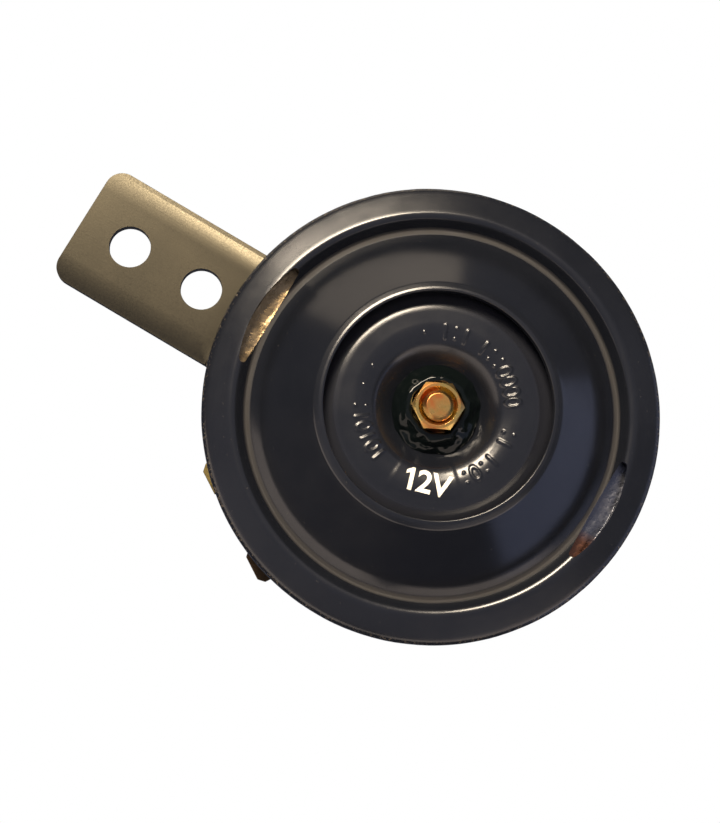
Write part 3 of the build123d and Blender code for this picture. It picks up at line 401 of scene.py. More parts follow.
def rolled_spring_steel():
    """Cold rolled spring steel, crinkled by clamping: creamy at the top, darker and bluer towards the bottom,
    and stained low down.
    """
    hues = bpy.context.scene.horn_colours
    made, tree, shader, place = new_finish("rolled_spring_steel", Metallic=1.0)
    corner = add_node(tree, "ShaderNodeTexCoord", output="Object")
    axes = add_node(tree, "ShaderNodeSeparateXYZ", {0: corner}).outputs
    tone = add_node(tree, "ShaderNodeTexNoise", {"Vector": place, "Scale": per(3.0), "Detail": 3.0}, "Fac")
    base = patches(tree, tone, (hues.spring_steel, colour("#7C694B")))
    # darker and bluer towards the bottom, by height
    base = patches(tree, axes["Z"], (base, hues.bluer_below), (-0.048, -0.056), 0.85)
    left = add_node(
        tree,
        "ShaderNodeMapRange",
        {"Value": axes["X"], "From Min": -0.0035, "From Max": -0.0055, "To Max": 0.9},
        "Result",
    )
    lowest = add_node(
        tree, "ShaderNodeMapRange", {"Value": axes["Z"], "From Min": -0.075, "From Max": -0.08}, "Result"
    )
    rust = add_node(tree, "ShaderNodeMath", {0: left, 1: lowest}, 0, operation="MULTIPLY")
    base = add_node(tree, "ShaderNodeMix", {0: rust, 6: base, 7: hues.stain}, 2, data_type="RGBA")
    tree.links.new(base, shader.inputs["Base Color"])
    crinkle = {"Vector": place, "Scale": per(0.8), "Detail": 3.0, "Roughness": 0.6}
    roughen(tree, shader, add_node(tree, "ShaderNodeTexNoise", crinkle, "Fac"), (0.22, 0.36), 0.07)
    return made


def make_finishes():
    """Every finish, by the record's material slot, or by a name of its own where a slot has two."""
    hues = bpy.context.scene.horn_colours
    return {
        "case_paint": baked_black_enamel(),
        "crimped_paint": baked_black_enamel("baked_black_enamel_crimped", road_wear),
        # the tone disc's enamel, with painted fill light in the lip's shadow at its edge
        "disc_paint": baked_black_enamel("baked_black_enamel_disc", painted_fill_in_gutter),
        "bracket_steel": plated_bracket_steel(),
        "yellow_zinc": yellow_zinc_plate(),
        # bright zinc, barrel plated: pale, slightly blue and crystalline
        "bright_zinc": metal("bright_zinc_plate", hues.zinc, colour("#8F9294"), (0.24, 0.4), 0.5, 0.006),
        "diaphragm_steel": rolled_spring_steel(),
        # alkyd lacquer brushed on and set: wet-looking, nearly black
        "lacquer": plain_solid(
            "brushed_sealing_lacquer", hues.lacquer, colour("#070C0B"), (0.05, 0.1), 3.0, 0.004,
            Specular_IOR_Level=0.2,
        ),
        # pressed cellulose fibre: dull, felted brown
        "gasket_paper": plain_solid(
            "pressed_fibre_gasket", colour("#8B7354"), colour("#6E5A40"), (0.8, 0.95), 0.35, 0.03
        ),
        # turned soft iron: fine rings from the lathe tool
        "core_iron": metal(
            "turned_soft_iron", colour("#8A8A8C"), colour("#6A6768"), (0.3, 0.45), 0.25, 0.006
        ),
        # enamelled copper wire in close layers: its turns, 0.4 mm apart, run across the axis
        "copper_wire": metal(
            "enamelled_copper_wire", colour("#B5602E"), colour("#8E431D"), (0.2, 0.35), 0.4, 0.12, (30, 1, 30)
        ),
        # injection moulded nylon: waxy off-white
        "nylon": plain_solid(
            "moulded_nylon", colour("#D8D2BE"), colour("#C4BCA4"), (0.38, 0.5), 0.5, 0.006, IOR=1.53
        ),
        # hot pressed phenolic: dark brown with a dull skin
        "bakelite": plain_solid(
            "pressed_phenolic", colour("#3A2115"), colour("#23130C"), (0.3, 0.45), 0.6, 0.008, IOR=1.6
        ),
        # phosphor bronze strip with rolling lines
        "spring_bronze": metal(
            "rolled_phosphor_bronze", colour("#B9854A"), hues.bronze, (0.25, 0.4), 0.3, 0.006, (8, 1, 1)
        ),
        # silver alloy rivet head, dulled by arcing
        "contact_silver": metal(
            "silver_alloy", colour("#D6D5CF"), colour("#8E8B84"), (0.25, 0.45), 0.3, 0.01
        ),
        # rolled brass strip, dulled to olive
        "brass": metal("rolled_brass", hues.brass, colour("#7C6C3C"), (0.28, 0.42), 0.4, 0.008, (1, 1, 6)),
        # brass strip with a darker tarnish
        "dark_brass": metal(
            "tarnished_brass", hues.bronze, colour("#3B332A"), (0.3, 0.45), 0.4, 0.008, (1, 1, 6)
        ),
        # screen printed white ink, slightly uneven
        "ink": plain_solid(
            "screen_printed_ink", hues.printing, colour("#E4DDC8"), (0.4, 0.55), 0.3, 0.004, IOR=1.5
        ),
    }


FINISHES = {}


def finish_of(slot):
    """The finish of a slot; all are made when the first is asked for."""
    if not FINISHES:
        FINISHES.update(make_finishes())
    return FINISHES[slot]


# --- making pieces -----------------------------------------------------------------------------
def rounded_wire(corners, bends):
    """A wire of (radius, height) corners in the x-z plane, its inner corners rounded to the bends."""
    bm = bmesh.new()
    wire = [bm.verts.new((radius, 0.0, height)) for radius, height in corners]
    for start, end in zip(wire, wire[1:]):
        bm.edges.new((start, end))
    for vert, bend in zip(wire[1:-1], bends):
        first, second = ((edge.other_vert(vert).co - vert.co) for edge in vert.link_edges)
        reach = bend * math.tan((math.pi - first.angle(second)) / 2)
        bmesh.ops.bevel(
            bm,
            geom=[vert],
            offset=reach,
            offset_type="OFFSET",
            segments=BEND_STEPS,
            profile=0.5,
            affect="VERTICES",
            clamp_overlap=False,
            material=-1,
        )
    return bm


def divide(bm, longest, low=-1e9, high=1e9):
    """Divides the wire's edges between two radii until none is longer than this."""
    for edge in list(bm.edges):
        middle = (edge.verts[0].co.x + edge.verts[1].co.x) / 2
        cuts = int(edge.calc_length() / longest)
        if cuts and low <= middle <= high:
            bmesh.ops.subdivide_edges(bm, edges=[edge], cuts=cuts)


def smooth_step(value):
    """From 0 to 1, level at both ends."""
    value = min(1.0, max(0.0, value))
    return value * value * (3 - 2 * value)


def cut_across(bm, point, normal, dist):
    """Divides every face that a plane crosses."""
    bmesh.ops.bisect_plane(
        bm, geom=bm.verts[:] + bm.edges[:] + bm.faces[:], plane_co=point, plane_no=normal, dist=dist
    )


def spin_round(bm, steps, front=True):
    """Spins the wire right round the horn's axis and turns its faces to the front or the back."""
    bmesh.ops.spin(
        bm,
        geom=bm.verts[:] + bm.edges[:],
        cent=(0, 0, 0),
        axis=(0, 0, 1),
        dvec=(0, 0, 0),
        angle=math.tau,
        steps=steps,
        use_merge=True,
        use_normal_flip=False,
        use_duplicate=False,
    )
    bmesh.ops.remove_doubles(bm, verts=bm.verts, dist=1e-4)
    bmesh.ops.recalc_face_normals(bm, faces=bm.faces)
    facing = sum(face.normal.z * face.calc_area() for face in bm.faces)
    if (facing > 0) != front:
        bmesh.ops.reverse_faces(bm, faces=bm.faces)


def new_piece(bm, name, placed=True):
    """An object from a bmesh in face space; its place is in its mesh."""
    if placed:
        bmesh.ops.transform(bm, matrix=PLACE, verts=bm.verts)
    mesh = bpy.data.meshes.new(name)
    bm.to_mesh(mesh)
    bm.free()
    made = bpy.data.objects.new(name, mesh)
    bpy.context.scene.collection.objects.link(made)
    return made


def settle(made):
    """Applies the piece's modifiers to its mesh."""
    bpy.context.view_layer.update()
    seen = made.evaluated_get(bpy.context.evaluated_depsgraph_get())
    baked = bpy.data.meshes.new_from_object(seen)
    made.modifiers.clear()
    old, made.data = made.data, baked
    bpy.data.meshes.remove(old)


def shade(made, sharp):
    """Smooth shading, with the edges that turn by more than this many degrees left sharp."""
    made.data.shade_smooth()
    made.data.set_sharp_from_angle(angle=math.radians(sharp))


def complete(made, body, slot, finish=None, nodes=(), sharp=SHARP):
    """Applies the modifiers, shades and finishes the piece, and sets what it rides on."""
    if made.modifiers:
        settle(made)
    shade(made, sharp)
    finish_piece(made, body, slot, finish, nodes)


def finish_piece(made, body, slot, finish=None, nodes=()):
    """The piece's finish, what it rides on and what it stands for."""
    made.data.materials.clear()
    made.data.materials.append(finish_of(finish or slot))
    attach(made, body)
    if nodes:
        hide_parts(*nodes)


def add_wall(made, thickness):
    """Gives a sheet its thickness, behind its faces."""
    wall = made.modifiers.new("wall", "SOLIDIFY")
    wall.thickness = thickness
    wall.offset = -1.0
    wall.use_even_offset = True
    wall.use_rim = True


def soften(made, width, segments=3, angle=38.0):
    """Rounds the sharp edges as tumbling and wear do."""
    worn = made.modifiers.new("worn", "BEVEL")
    worn.width = width
    worn.segments = segments
    worn.limit_method = "ANGLE"
    worn.angle_limit = math.radians(angle)
    worn.profile = 0.5
    worn.use_clamp_overlap = True
    worn.harden_normals = True


def merged(node):
    """A joined-up bmesh of a CAD node, in the frame, with its flat faces whole."""
    bm = bmesh.new()
    bm.from_mesh(frame["nodes"][node].data)
    bmesh.ops.remove_doubles(bm, verts=bm.verts, dist=2e-6)
    bmesh.ops.dissolve_limit(
        bm, angle_limit=math.radians(0.6), verts=bm.verts, edges=bm.edges, use_dissolve_boundaries=False
    )
    return bm


def from_node(bm, name):
    """An object from a merged copy of a CAD node, without the CAD mesh's own normals."""
    made = new_piece(bm, name, placed=False)
    for layer in ("custom_normal", "sharp_edge", "sharp_face"):
        if layer in made.data.attributes:
            made.data.attributes.remove(made.data.attributes[layer])
    return made


def worn_copies(table):
    """Softened copies that stand for CAD nodes, from rows of node, name, body, slot, finish and width."""
    for node, name, body, slot, finish, width in table:
        made = from_node(merged(node), name)
        shade(made, SHARP)
        soften(made, width)
        settle(made)
        finish_piece(made, body, slot, finish, (node,))


# --- pieces ------------------------------------------------------------------------------------
# profiles: (radius, height) corners in millimetres, and the radius of the bend at each inner corner
COVER = (
    (34.8, -1.140), (37.5, -2.123), (37.5, 1.336), (32.3, 3.229), (30.35, 1.05),
    (28.75, 1.69), (19.75, 11.45), (18.9, 11.82), (18.2, 12.0), (18.2, 10.3),
)
COVER_BENDS = (0.9, 1.2, 1.3, 0.3, 6.0, 0.8, 1.0, 0.3)
HOUSING = ((3.05, -17.0), (30.2, -17.0), (31.0, -6.2), (33.9, -4.6), (33.9, 0.039), (36.126, -0.771))
HOUSING_BENDS = (2.2, 1.5, 1.5, 0.5)
TONE = (
    (2.55, 5.9), (6.4, 5.9), (10.2, 8.85), (12.6, 9.5), (16.0, 9.3), (18.5, 8.45), (22.0, 4.4),
)
TONE_BENDS = (1.0, 3.6, 6.0, 4.0, 3.0)
DIAPHRAGM = ((36.4, 0.566), (33.9, 1.476), (33.5, 0.1), (30.9, 0.03), (9.0, 2.6), (2.55, 2.6))
DIAPHRAGM_BENDS = (0.5, 0.4, 3.0, 3.0)
LACQUER = ((3.9, 7.6), (4.2, 8.9), (5.0, 8.9), (6.3, 7.5), (7.4, 6.3), (6.9, 5.75))
LACQUER_BENDS = (0.3, 0.6, 0.9, 0.5)
# sound slots, in millimetres from the axis: inner side, half length, ends, crest and corner bends
SLOT_CHORD, SLOT_HALF, SLOT_END, SLOT_CREST, SLOT_TIP = 30.3, 8.9, 31.3, 33.2, 0.6
SLOT_LOW, SLOT_HIGH = -0.6, 8.0
# front nut, in millimetres: across its flats, its two faces, and how far it is turned
NUT_FLATS, NUT_LOW, NUT_HIGH, NUT_TURN = 7.4, 6.7, 10.7, math.radians(27.0)
# the ring of embossed marks, one letter a place: bars, pairs of dots, rings, dots and bare places
MARKS = " |:| .     . . :|o|o|        :o:| |:  oooo::|"
MARK_WIDTH = 0.36
# the flat pad, and the printed voltage mark on it, in millimetres
PAD_ANGLE, PAD_RADIUS, PAD_RISE = math.radians(201.0), 12.0, 0.08
PAD_HALF_WIDTH, PAD_HALF_HEIGHT = 5.6, 3.0
PRINT_CENTRE, PRINT_TURN = (-11.16, -4.85), math.radians(-73.3)
INK_LIFT, INK_GRID = 0.03, 0.25
# where the contact leaf bends, in the frame: from the edge of its clamp, along the leaf
LEAF_START = Vector((-0.01880, -0.00885, -0.05350))
LEAF_END = LEAF_START + 0.0024 * Vector((0.991287, 0.0, 0.131718))
LEAF_CUTS = 10
# the bracket's drawn-down edges, in metres: width, drop, cuts, and the level where they end
DIE_WIDTH, DIE_DROP, DIE_STEPS, DIE_END = 0.0050, 0.00043, 12, -0.016


def slot_cutters():
    """Two prisms through the groove: a straight side, a bowed side and blunt rounded ends."""
    bm = bmesh.new()
    rise = SLOT_CREST - SLOT_END
    reach = (SLOT_HALF**2 + rise**2) / (2 * rise)
    half = math.asin(SLOT_HALF / reach)
    start = bm.verts.new((SLOT_HALF, SLOT_END, SLOT_LOW))
    arc = bmesh.ops.spin(
        bm,
        geom=[start],
        cent=(0, SLOT_CREST - reach, SLOT_LOW),
        axis=(0, 0, 1),
        dvec=(0, 0, 0),
        angle=half * 2,
        steps=28,
        use_merge=False,
        use_normal_flip=False,
        use_duplicate=False,
    )
    last = [item for item in arc["geom_last"] if isinstance(item, bmesh.types.BMVert)][0]
    corners = [bm.verts.new((side * SLOT_HALF, SLOT_CHORD, SLOT_LOW)) for side in (-1, 1)]
    for pair in ((last, corners[0]), corners, (corners[1], start)):
        bm.edges.new(pair)
    bmesh.ops.contextual_create(bm, geom=bm.edges[:])
    bmesh.ops.bevel(
        bm,
        geom=[start, last, *corners],
        offset=SLOT_TIP,
        offset_type="OFFSET",
        segments=4,
        profile=0.5,
        affect="VERTICES",
        clamp_overlap=True,
        material=-1,
    )
    grown = bmesh.ops.extrude_face_region(bm, geom=bm.faces[:], use_keep_orig=True)
    lifted = [item for item in grown["geom"] if isinstance(item, bmesh.types.BMVert)]
    bmesh.ops.translate(bm, vec=(0, 0, SLOT_HIGH - SLOT_LOW), verts=lifted)
    bmesh.ops.recalc_face_normals(bm, faces=bm.faces)
    twin = bmesh.ops.duplicate(bm, geom=bm.verts[:] + bm.edges[:] + bm.faces[:])["geom"]
    turned = [item for item in twin if isinstance(item, bmesh.types.BMVert)]
    bmesh.ops.rotate(bm, cent=(0, 0, 0), matrix=Matrix.Rotation(math.pi, 3, "Z"), verts=turned)
    return new_piece(bm, "slot_cutters")


def add_cover(sizes):
    """The pressed cover: spun from its profile, crimped round its rim and punched with two slots."""
    bm = rounded_wire(COVER, COVER_BENDS)
    divide(bm, 0.5, 31.0, 38.0)
    divide(bm, 1.2)
    spin_round(bm, sizes.steps)
    # a rolled rim is never quite round: it wavers a few hundredths of a millimetre, always inwards
    wave = sizes.crimp_wave / MM
    for vert in bm.verts:
        reach = math.hypot(vert.co.x, vert.co.y)
        share = min(1.0, max(0.0, (reach - 35.4) / 1.6))
        slow = noise.noise(Vector((vert.co.x, vert.co.y, 0.0)) * 0.22)
        quick = noise.noise(Vector((vert.co.x, vert.co.y, vert.co.z * 2)) * 1.3)
        inward = share * wave * (0.5 + 0.5 * slow + 0.28 * quick + 0.25)
        vert.co.x -= vert.co.x / reach * inward
        vert.co.y -= vert.co.y / reach * inward
    made = new_piece(bm, "pressed_cover")
    add_wall(made, sizes.sheet)
    cutters = slot_cutters()
    punch = made.modifiers.new("punch", "BOOLEAN")
    punch.operation = "DIFFERENCE"
    punch.solver = "EXACT"
    punch.object = cutters
    settle(made)
    bpy.data.objects.remove(cutters)
    complete(made, CASE, "case_paint", "crimped_paint", ("front_cover",))


def add_housing(sizes):
    """The drawn cup behind the cover, open to the front."""
    bm = rounded_wire(HOUSING, HOUSING_BENDS)
    divide(bm, 1.5)
    spin_round(bm, sizes.steps, front=False)
    made = new_piece(bm, "drawn_housing")
    add_wall(made, sizes.sheet)
    complete(made, CASE, "case_paint", None, ("housing",))


def raised(reach, angle, sizes):
    """Height in millimetres that the embossing adds at a radius and an angle on the tone disc."""
    ring = sizes.mark_ring / MM
    along = reach - ring
    if abs(along) > 3.2:
        return 0.0
    # the flat pad below the voltage mark
    off = (angle - PAD_ANGLE + math.pi) % math.tau - math.pi
    pad = smooth_step((PAD_HALF_WIDTH - abs(off) * ring) / 0.9)
    pad *= smooth_step((PAD_HALF_HEIGHT - abs(reach - PAD_RADIUS)) / 0.8)
    # the other marks are plain bars, rings and dots, with bare places between them
    pitch = math.tau / sizes.marks
    place = round(angle / pitch)
    kind = MARKS[place % len(MARKS)]
    aside = (angle - place * pitch) * reach
    half = sizes.mark_length / MM / 2
    if kind == "|":
        away = math.hypot(aside, max(0.0, abs(along) - half + MARK_WIDTH))
    elif kind == ":":
        away = math.hypot(aside, abs(along) - half * 0.62)
    elif kind == "o":
        away = abs(math.hypot(aside * 1.75, along) - half * 0.8) * 0.75
    elif kind == ".":
        away = math.hypot(aside, along)
    else:
        return PAD_RISE * pad
    return PAD_RISE * pad + sizes.mark_height / MM * smooth_step((MARK_WIDTH - away) / 0.24)


def tone_surface(sizes):
    """The front face of the tone disc, with its embossed marks."""
    bm = rounded_wire(TONE, TONE_BENDS)
    divide(bm, 0.15, 9.0, 15.2)
    divide(bm, 0.9)
    spin_round(bm, sizes.steps * 2)
    for vert in bm.verts:
        reach = math.hypot(vert.co.x, vert.co.y)
        vert.co.z += raised(reach, math.atan2(vert.co.y, vert.co.x), sizes)
    return bm


def add_tone_disc(sizes):
    """The tone disc: the sheet behind its front face."""
    made = new_piece(tone_surface(sizes), "pressed_tone_disc")
    add_wall(made, sizes.sheet)
    complete(made, MOVING, "case_paint", "disc_paint", ("tone_disc",), sharp=50.0)


def add_print(sizes):
    """The voltage mark, laid on the tone disc as a film of ink."""
    letters = bpy.data.curves.new("voltage", "FONT")
    letters.body = "2V"
    letters.align_x = "CENTER"
    letters.align_y = "CENTER"
    letters.size = 1.0
    letters.offset = 0.022
    letters.space_character = 0.98
    text = bpy.data.objects.new("voltage", letters)
    bpy.context.scene.collection.objects.link(text)
    bpy.context.view_layer.update()
    flat = bpy.data.meshes.new_from_object(text.evaluated_get(bpy.context.evaluated_depsgraph_get()))
    bpy.data.objects.remove(text)
    bm = bmesh.new()
    bm.from_mesh(flat)
    bpy.data.meshes.remove(flat)
    bmesh.ops.remove_doubles(bm, verts=bm.verts, dist=1e-5)
    low, high = (pick(vert.co.y for vert in bm.verts) for pick in (min, max))
    left, tall = min(vert.co.x for vert in bm.verts), high - low
    # the figure one has a flag and no foot: its stem's corners and its flag's, as shares of its height
    stem = ((-0.36, 0), (-0.17, 0), (-0.17, 1), (-0.29, 1), (-0.36, 0.76))
    flag = ((-0.53, 0.67), (-0.53, 0.84))
    one = [bm.verts.new((left + x * tall, low + y * tall, 0.0)) for x, y in stem + flag]
    bmesh.ops.contextual_create(bm, geom=one[:5])
    bmesh.ops.contextual_create(bm, geom=one[3:])
    middle = (left - 0.53 * tall + max(vert.co.x for vert in bm.verts)) / 2
    bmesh.ops.translate(bm, vec=(-middle, -(low + high) / 2, 0), verts=bm.verts)
    grow = sizes.print_height / MM / tall
    bmesh.ops.scale(bm, vec=(grow, grow, 1), verts=bm.verts)
    for axis in (Vector((1, 0, 0)), Vector((0, 1, 0))):
        for step in range(-24, 25):
            cut_across(bm, axis * step * INK_GRID, axis, 1e-5)
    turn = Matrix.Translation((*PRINT_CENTRE, 0)) @ Matrix.Rotation(PRINT_TURN, 4, "Z")
    bmesh.ops.transform(bm, matrix=turn, verts=bm.verts)
    ground = tone_surface(sizes)
    tree = BVHTree.FromBMesh(ground)
    for vert in bm.verts:
        hit = tree.ray_cast(Vector((vert.co.x, vert.co.y, 30.0)), Vector((0, 0, -1)))[0]
        vert.co.z = hit.z + INK_LIFT
    ground.free()
    bmesh.ops.recalc_face_normals(bm, faces=bm.faces)
    if sum(face.normal.z for face in bm.faces) < 0:
        bmesh.ops.reverse_faces(bm, faces=bm.faces)
    made = new_piece(bm, "voltage_print")
    add_wall(made, 0.00006)
    complete(made, MOVING, "case_paint", "ink", ())


def add_diaphragm(sizes):
    """The spring steel sheet between the halves of the case."""
    bm = rounded_wire(DIAPHRAGM, DIAPHRAGM_BENDS)
    divide(bm, 0.45, 30.0, 34.5)
    divide(bm, 1.5)
    spin_round(bm, sizes.steps)
    # clamping crinkles the thin sheet between the slots' edges
    for vert in bm.verts:
        reach = math.hypot(vert.co.x, vert.co.y)
        if 30.2 < reach < 33.4:
            vert.co.z += 0.10 * noise.noise(vert.co * 0.9) - 0.05
    made = new_piece(bm, "rolled_diaphragm")
    add_wall(made, sizes.foil)
    settle(made)
    shade(made, 50.0)
    made.data.materials.append(finish_of("diaphragm_steel"))
    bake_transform(made)
    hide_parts("diaphragm")


def add_contact_leaf():
    """The spring leaf of the contact: flat in its clamp, with cuts across it from the clamp's edge along the
    leaf.
    """
    bm = merged("contact_leaf")
    for step in range(LEAF_CUTS + 1):
        cut_across(bm, LEAF_START.lerp(LEAF_END, step / LEAF_CUTS), LEAF_END - LEAF_START, 1e-7)
    made = from_node(bm, "bending_contact_leaf")
    shade(made, SHARP)
    made.data.materials.append(finish_of("spring_bronze"))
    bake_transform(made)
    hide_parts("contact_leaf")


def add_bracket(width):
    """The punched strip: the blanking die has drawn its long front edges down."""
    bm = merged("mounting_bracket")
    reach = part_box("mounting_bracket")[1][0]
    for step in range(1, DIE_STEPS):
        for side in (-1, 1):
            place = (side * (reach - DIE_WIDTH * (step / DIE_STEPS) ** 1.5), 0, 0)
            cut_across(bm, place, (1, 0, 0), 1e-7)
    cut_across(bm, (0, 0, DIE_END), (0, 0, 1), 1e-7)
    front = min(vert.co.y for vert in bm.verts if vert.co.z > DIE_END)
    for vert in bm.verts:
        if vert.co.z > DIE_END + 1e-6 and vert.co.y < front + 1e-5:
            share = max(0.0, (abs(vert.co.x) - reach + DIE_WIDTH) / DIE_WIDTH)
            vert.co.y += DIE_DROP * share**2.2 * smooth_step((vert.co.z - DIE_END) * 400)
    made = from_node(bm, "punched_bracket")
    shade(made, SHARP)
    soften(made, width)
    settle(made)
    finish_piece(made, CASE, "bracket_steel", None, ("mounting_bracket",))


def add_front_nut():
    """A hexagon nut, chamfered and countersunk at both ends: a prism cut by a spun outline."""
    bm = bmesh.new()
    bmesh.ops.create_circle(
        bm, cap_ends=True, cap_tris=False, segments=6, radius=NUT_FLATS / math.sqrt(3)
    )
    bmesh.ops.translate(bm, vec=(0, 0, NUT_LOW), verts=bm.verts)
    bmesh.ops.rotate(
        bm, cent=(0, 0, 0), matrix=Matrix.Rotation(NUT_TURN, 3, "Z"), verts=bm.verts
    )
    grown = bmesh.ops.extrude_face_region(bm, geom=bm.faces[:], use_keep_orig=True)
    lifted = [item for item in grown["geom"] if isinstance(item, bmesh.types.BMVert)]
    bmesh.ops.translate(bm, vec=(0, 0, NUT_HIGH - NUT_LOW), verts=lifted)
    bmesh.ops.recalc_face_normals(bm, faces=bm.faces)
    made = new_piece(bm, "plated_front_nut")
    land, corner, drop = NUT_FLATS * 0.485, NUT_FLATS * 0.62, NUT_FLATS * 0.078
    outline = rounded_wire(
        (
            (2.55, NUT_LOW + 0.55), (3.1, NUT_LOW), (land, NUT_LOW), (corner, NUT_LOW + drop),
            (corner, NUT_HIGH - drop), (land, NUT_HIGH), (3.12, NUT_HIGH), (2.55, NUT_HIGH - 0.55),
        ),
        (),
    )
    ends = [vert for vert in outline.verts if len(vert.link_edges) == 1]
    outline.edges.new(ends)
    spin_round(outline, 96)
    bmesh.ops.recalc_face_normals(outline, faces=outline.faces)
    form = new_piece(outline, "nut_form")
    cut = made.modifiers.new("chamfers", "BOOLEAN")
    cut.operation = "INTERSECT"
    cut.solver = "EXACT"
    cut.object = form
    settle(made)
    bpy.data.objects.remove(form)
    shade(made, SHARP)
    soften(made, 0.00012, 2, 25.0)
    settle(made)
    finish_piece(made, MOVING, "yellow_zinc", None, ("front_nut",))


def add_lacquer():
    """A bead of lacquer round the washer, thicker where it ran down."""
    bm = rounded_wire(LACQUER, LACQUER_BENDS)
    divide(bm, 0.25)
    spin_round(bm, 128)
    for vert in bm.verts:
        angle = math.atan2(vert.co.y, vert.co.x)
        low = 0.5 + 0.5 * math.cos(angle - math.radians(225))
        lump = noise.noise(vert.co * 0.42) * 0.6 + noise.noise(vert.co * 1.1) * 0.25
        out = Vector((math.cos(angle), math.sin(angle), 0.5))
        vert.co += out * (lump * (0.35 + 0.65 * low) + 0.30 * low - 0.15)
    bmesh.ops.smooth_vert(
        bm, verts=bm.verts, factor=0.5, use_axis_x=True, use_axis_y=True, use_axis_z=True
    )
    made = new_piece(bm, "lacquer_bead")
    complete(made, MOVING, "lacquer", None, ("sealing_lacquer",), sharp=80.0)


# --- operators ---------------------------------------------------------------------------------
class HORN_OT_add_case(bpy.types.Operator):
    """Add the pressed cover and the drawn housing"""

    bl_idname = "horn.add_case"
    bl_label = "Add Case"

    def execute(self, context):
        add_cover(context.scene.horn_sizes)
        add_housing(context.scene.horn_sizes)
        return {"FINISHED"}


class HORN_OT_add_tone_disc(bpy.types.Operator):
    """Add the embossed tone disc, its voltage mark and the diaphragm behind it"""

    bl_idname = "horn.add_tone_disc"
    bl_label = "Add Tone Disc"

    def execute(self, context):
        add_tone_disc(context.scene.horn_sizes)
        add_print(context.scene.horn_sizes)
        add_diaphragm(context.scene.horn_sizes)
        return {"FINISHED"}


class HORN_OT_add_front_fastening(bpy.types.Operator):
    """Add the front nut, washer and stud, and the lacquer that seals them"""

    bl_idname = "horn.add_front_fastening"
    bl_label = "Add Front Fastening"

    def execute(self, context):
        worn_copies((
            ("front_washer", "plated_front_washer", MOVING, "yellow_zinc", "yellow_zinc", 0.0001),
            ("armature_stud", "threaded_armature_stud", MOVING, "yellow_zinc", "yellow_zinc", 0.0001),
        ))
        add_front_nut()
        add_lacquer()
        return {"FINISHED"}


class HORN_OT_add_bracket(bpy.types.Operator):
    """Add the punched mounting bracket"""

    bl_idname = "horn.add_bracket"
    bl_label = "Add Bracket"

    def execute(self, context):
        add_bracket(context.scene.horn_sizes.softened)
        return {"FINISHED"}


class HORN_OT_add_terminals(bpy.types.Operator):
    """Add the terminal blades, their rivets and the insulator"""

    bl_idname = "horn.add_terminals"
    bl_label = "Add Terminals"

    def execute(self, context):
        worn_copies((
            ("terminal_1", "blade_1", CASE, "brass", "brass", 0.0001),
            ("terminal_2", "blade_2", CASE, "brass", "dark_brass", 0.0001),
            ("terminal_rivet_1", "blade_rivet_1", CASE, "brass", "brass", 0.00012),
            ("terminal_rivet_2", "blade_rivet_2", CASE, "brass", "dark_brass", 0.00012),
            ("outer_insulator", "pressed_insulator", CASE, "bakelite", "bakelite", 0.0002),
        ))
        return {"FINISHED"}


class HORN_OT_add_rear_fastening(bpy.types.Operator):
    """Add the rear nut and washers and the sound adjuster"""

    bl_idname = "horn.add_rear_fastening"
    bl_label = "Add Rear Fastening"

    def execute(self, context):
        worn_copies((
            ("rear_washer", "plated_rear_washer", CASE, "bright_zinc", "bright_zinc", 0.00012),
            ("spring_washer", "split_spring_washer", CASE, "bright_zinc", "bright_zinc", 0.00012),
            ("rear_nut", "plated_rear_nut", CASE, "bright_zinc", "bright_zinc", 0.00012),
            ("adjusting_bush", "turned_bush", CASE, "brass", "brass", 0.00012),
            ("lock_nut", "plated_lock_nut", CASE, "bright_zinc", "bright_zinc", 0.00012),
            ("adjusting_screw", "slotted_screw", CASE, "bright_zinc", "bright_zinc", 0.0001),
            ("holder_rivet", "formed_holder_rivet", CASE, "brass", "brass", 0.00012),
        ))
        return {"FINISHED"}


class HORN_OT_add_contact_leaf(bpy.types.Operator):
    """Add the spring leaf of the contact breaker"""

    bl_idname = "horn.add_contact_leaf"
    bl_label = "Add Contact Leaf"

    def execute(self, context):
        add_contact_leaf()
        return {"FINISHED"}


class HORN_OT_paint_solids(bpy.types.Operator):
    """Give every solid that still shows the finish of its material slot"""

    bl_idname = "horn.paint_solids"
    bl_label = "Paint Solids"

    def execute(self, context):
        for node, item in frame["nodes"].items():
            if item.hide_render:
                continue
            item.data.materials.clear()
            item.data.materials.append(finish_of(SLOTS[node]))
        return {"FINISHED"}


class HORN_OT_add_stage(bpy.types.Operator):
    """Add the floor, the lamps, the room and the camera"""

    bl_idname = "horn.add_stage"
    bl_label = "Add Stage"

    def execute(self, context):
        scene, lamps = context.scene, context.scene.horn_lights
        scene.view_settings.view_transform = "Standard"
        add_floor()
        add_room(scene, lamps.room)
        for name, power, hue, tilt, turn, size in (
            ("key_lamp", lamps.key, "#FFEED5", 39, 47, (0.38, 0.24)),
            ("low_lamp", lamps.low, "#FFECD3", 104, 45, (0.95, 0.70)),
            ("wall_lamp_1", lamps.wall, "#FFECDD", 63, 157, (1.25, 0.50)),
            ("wall_lamp_2", lamps.wall * SECOND_WALL, "#FFECDD", 61, 232, (0.92, 0.42)),
            ("side_lamp", lamps.side, "#C6D1FF", 84, 281, (1.45, 0.85)),
            ("front_lamp", lamps.front, "#E7E7FF", 4, 6, (1.80, 1.80)),
        ):
            add_lamp(name, power, hue, tilt, turn, size)
        add_camera(scene)
        return {"FINISHED"}


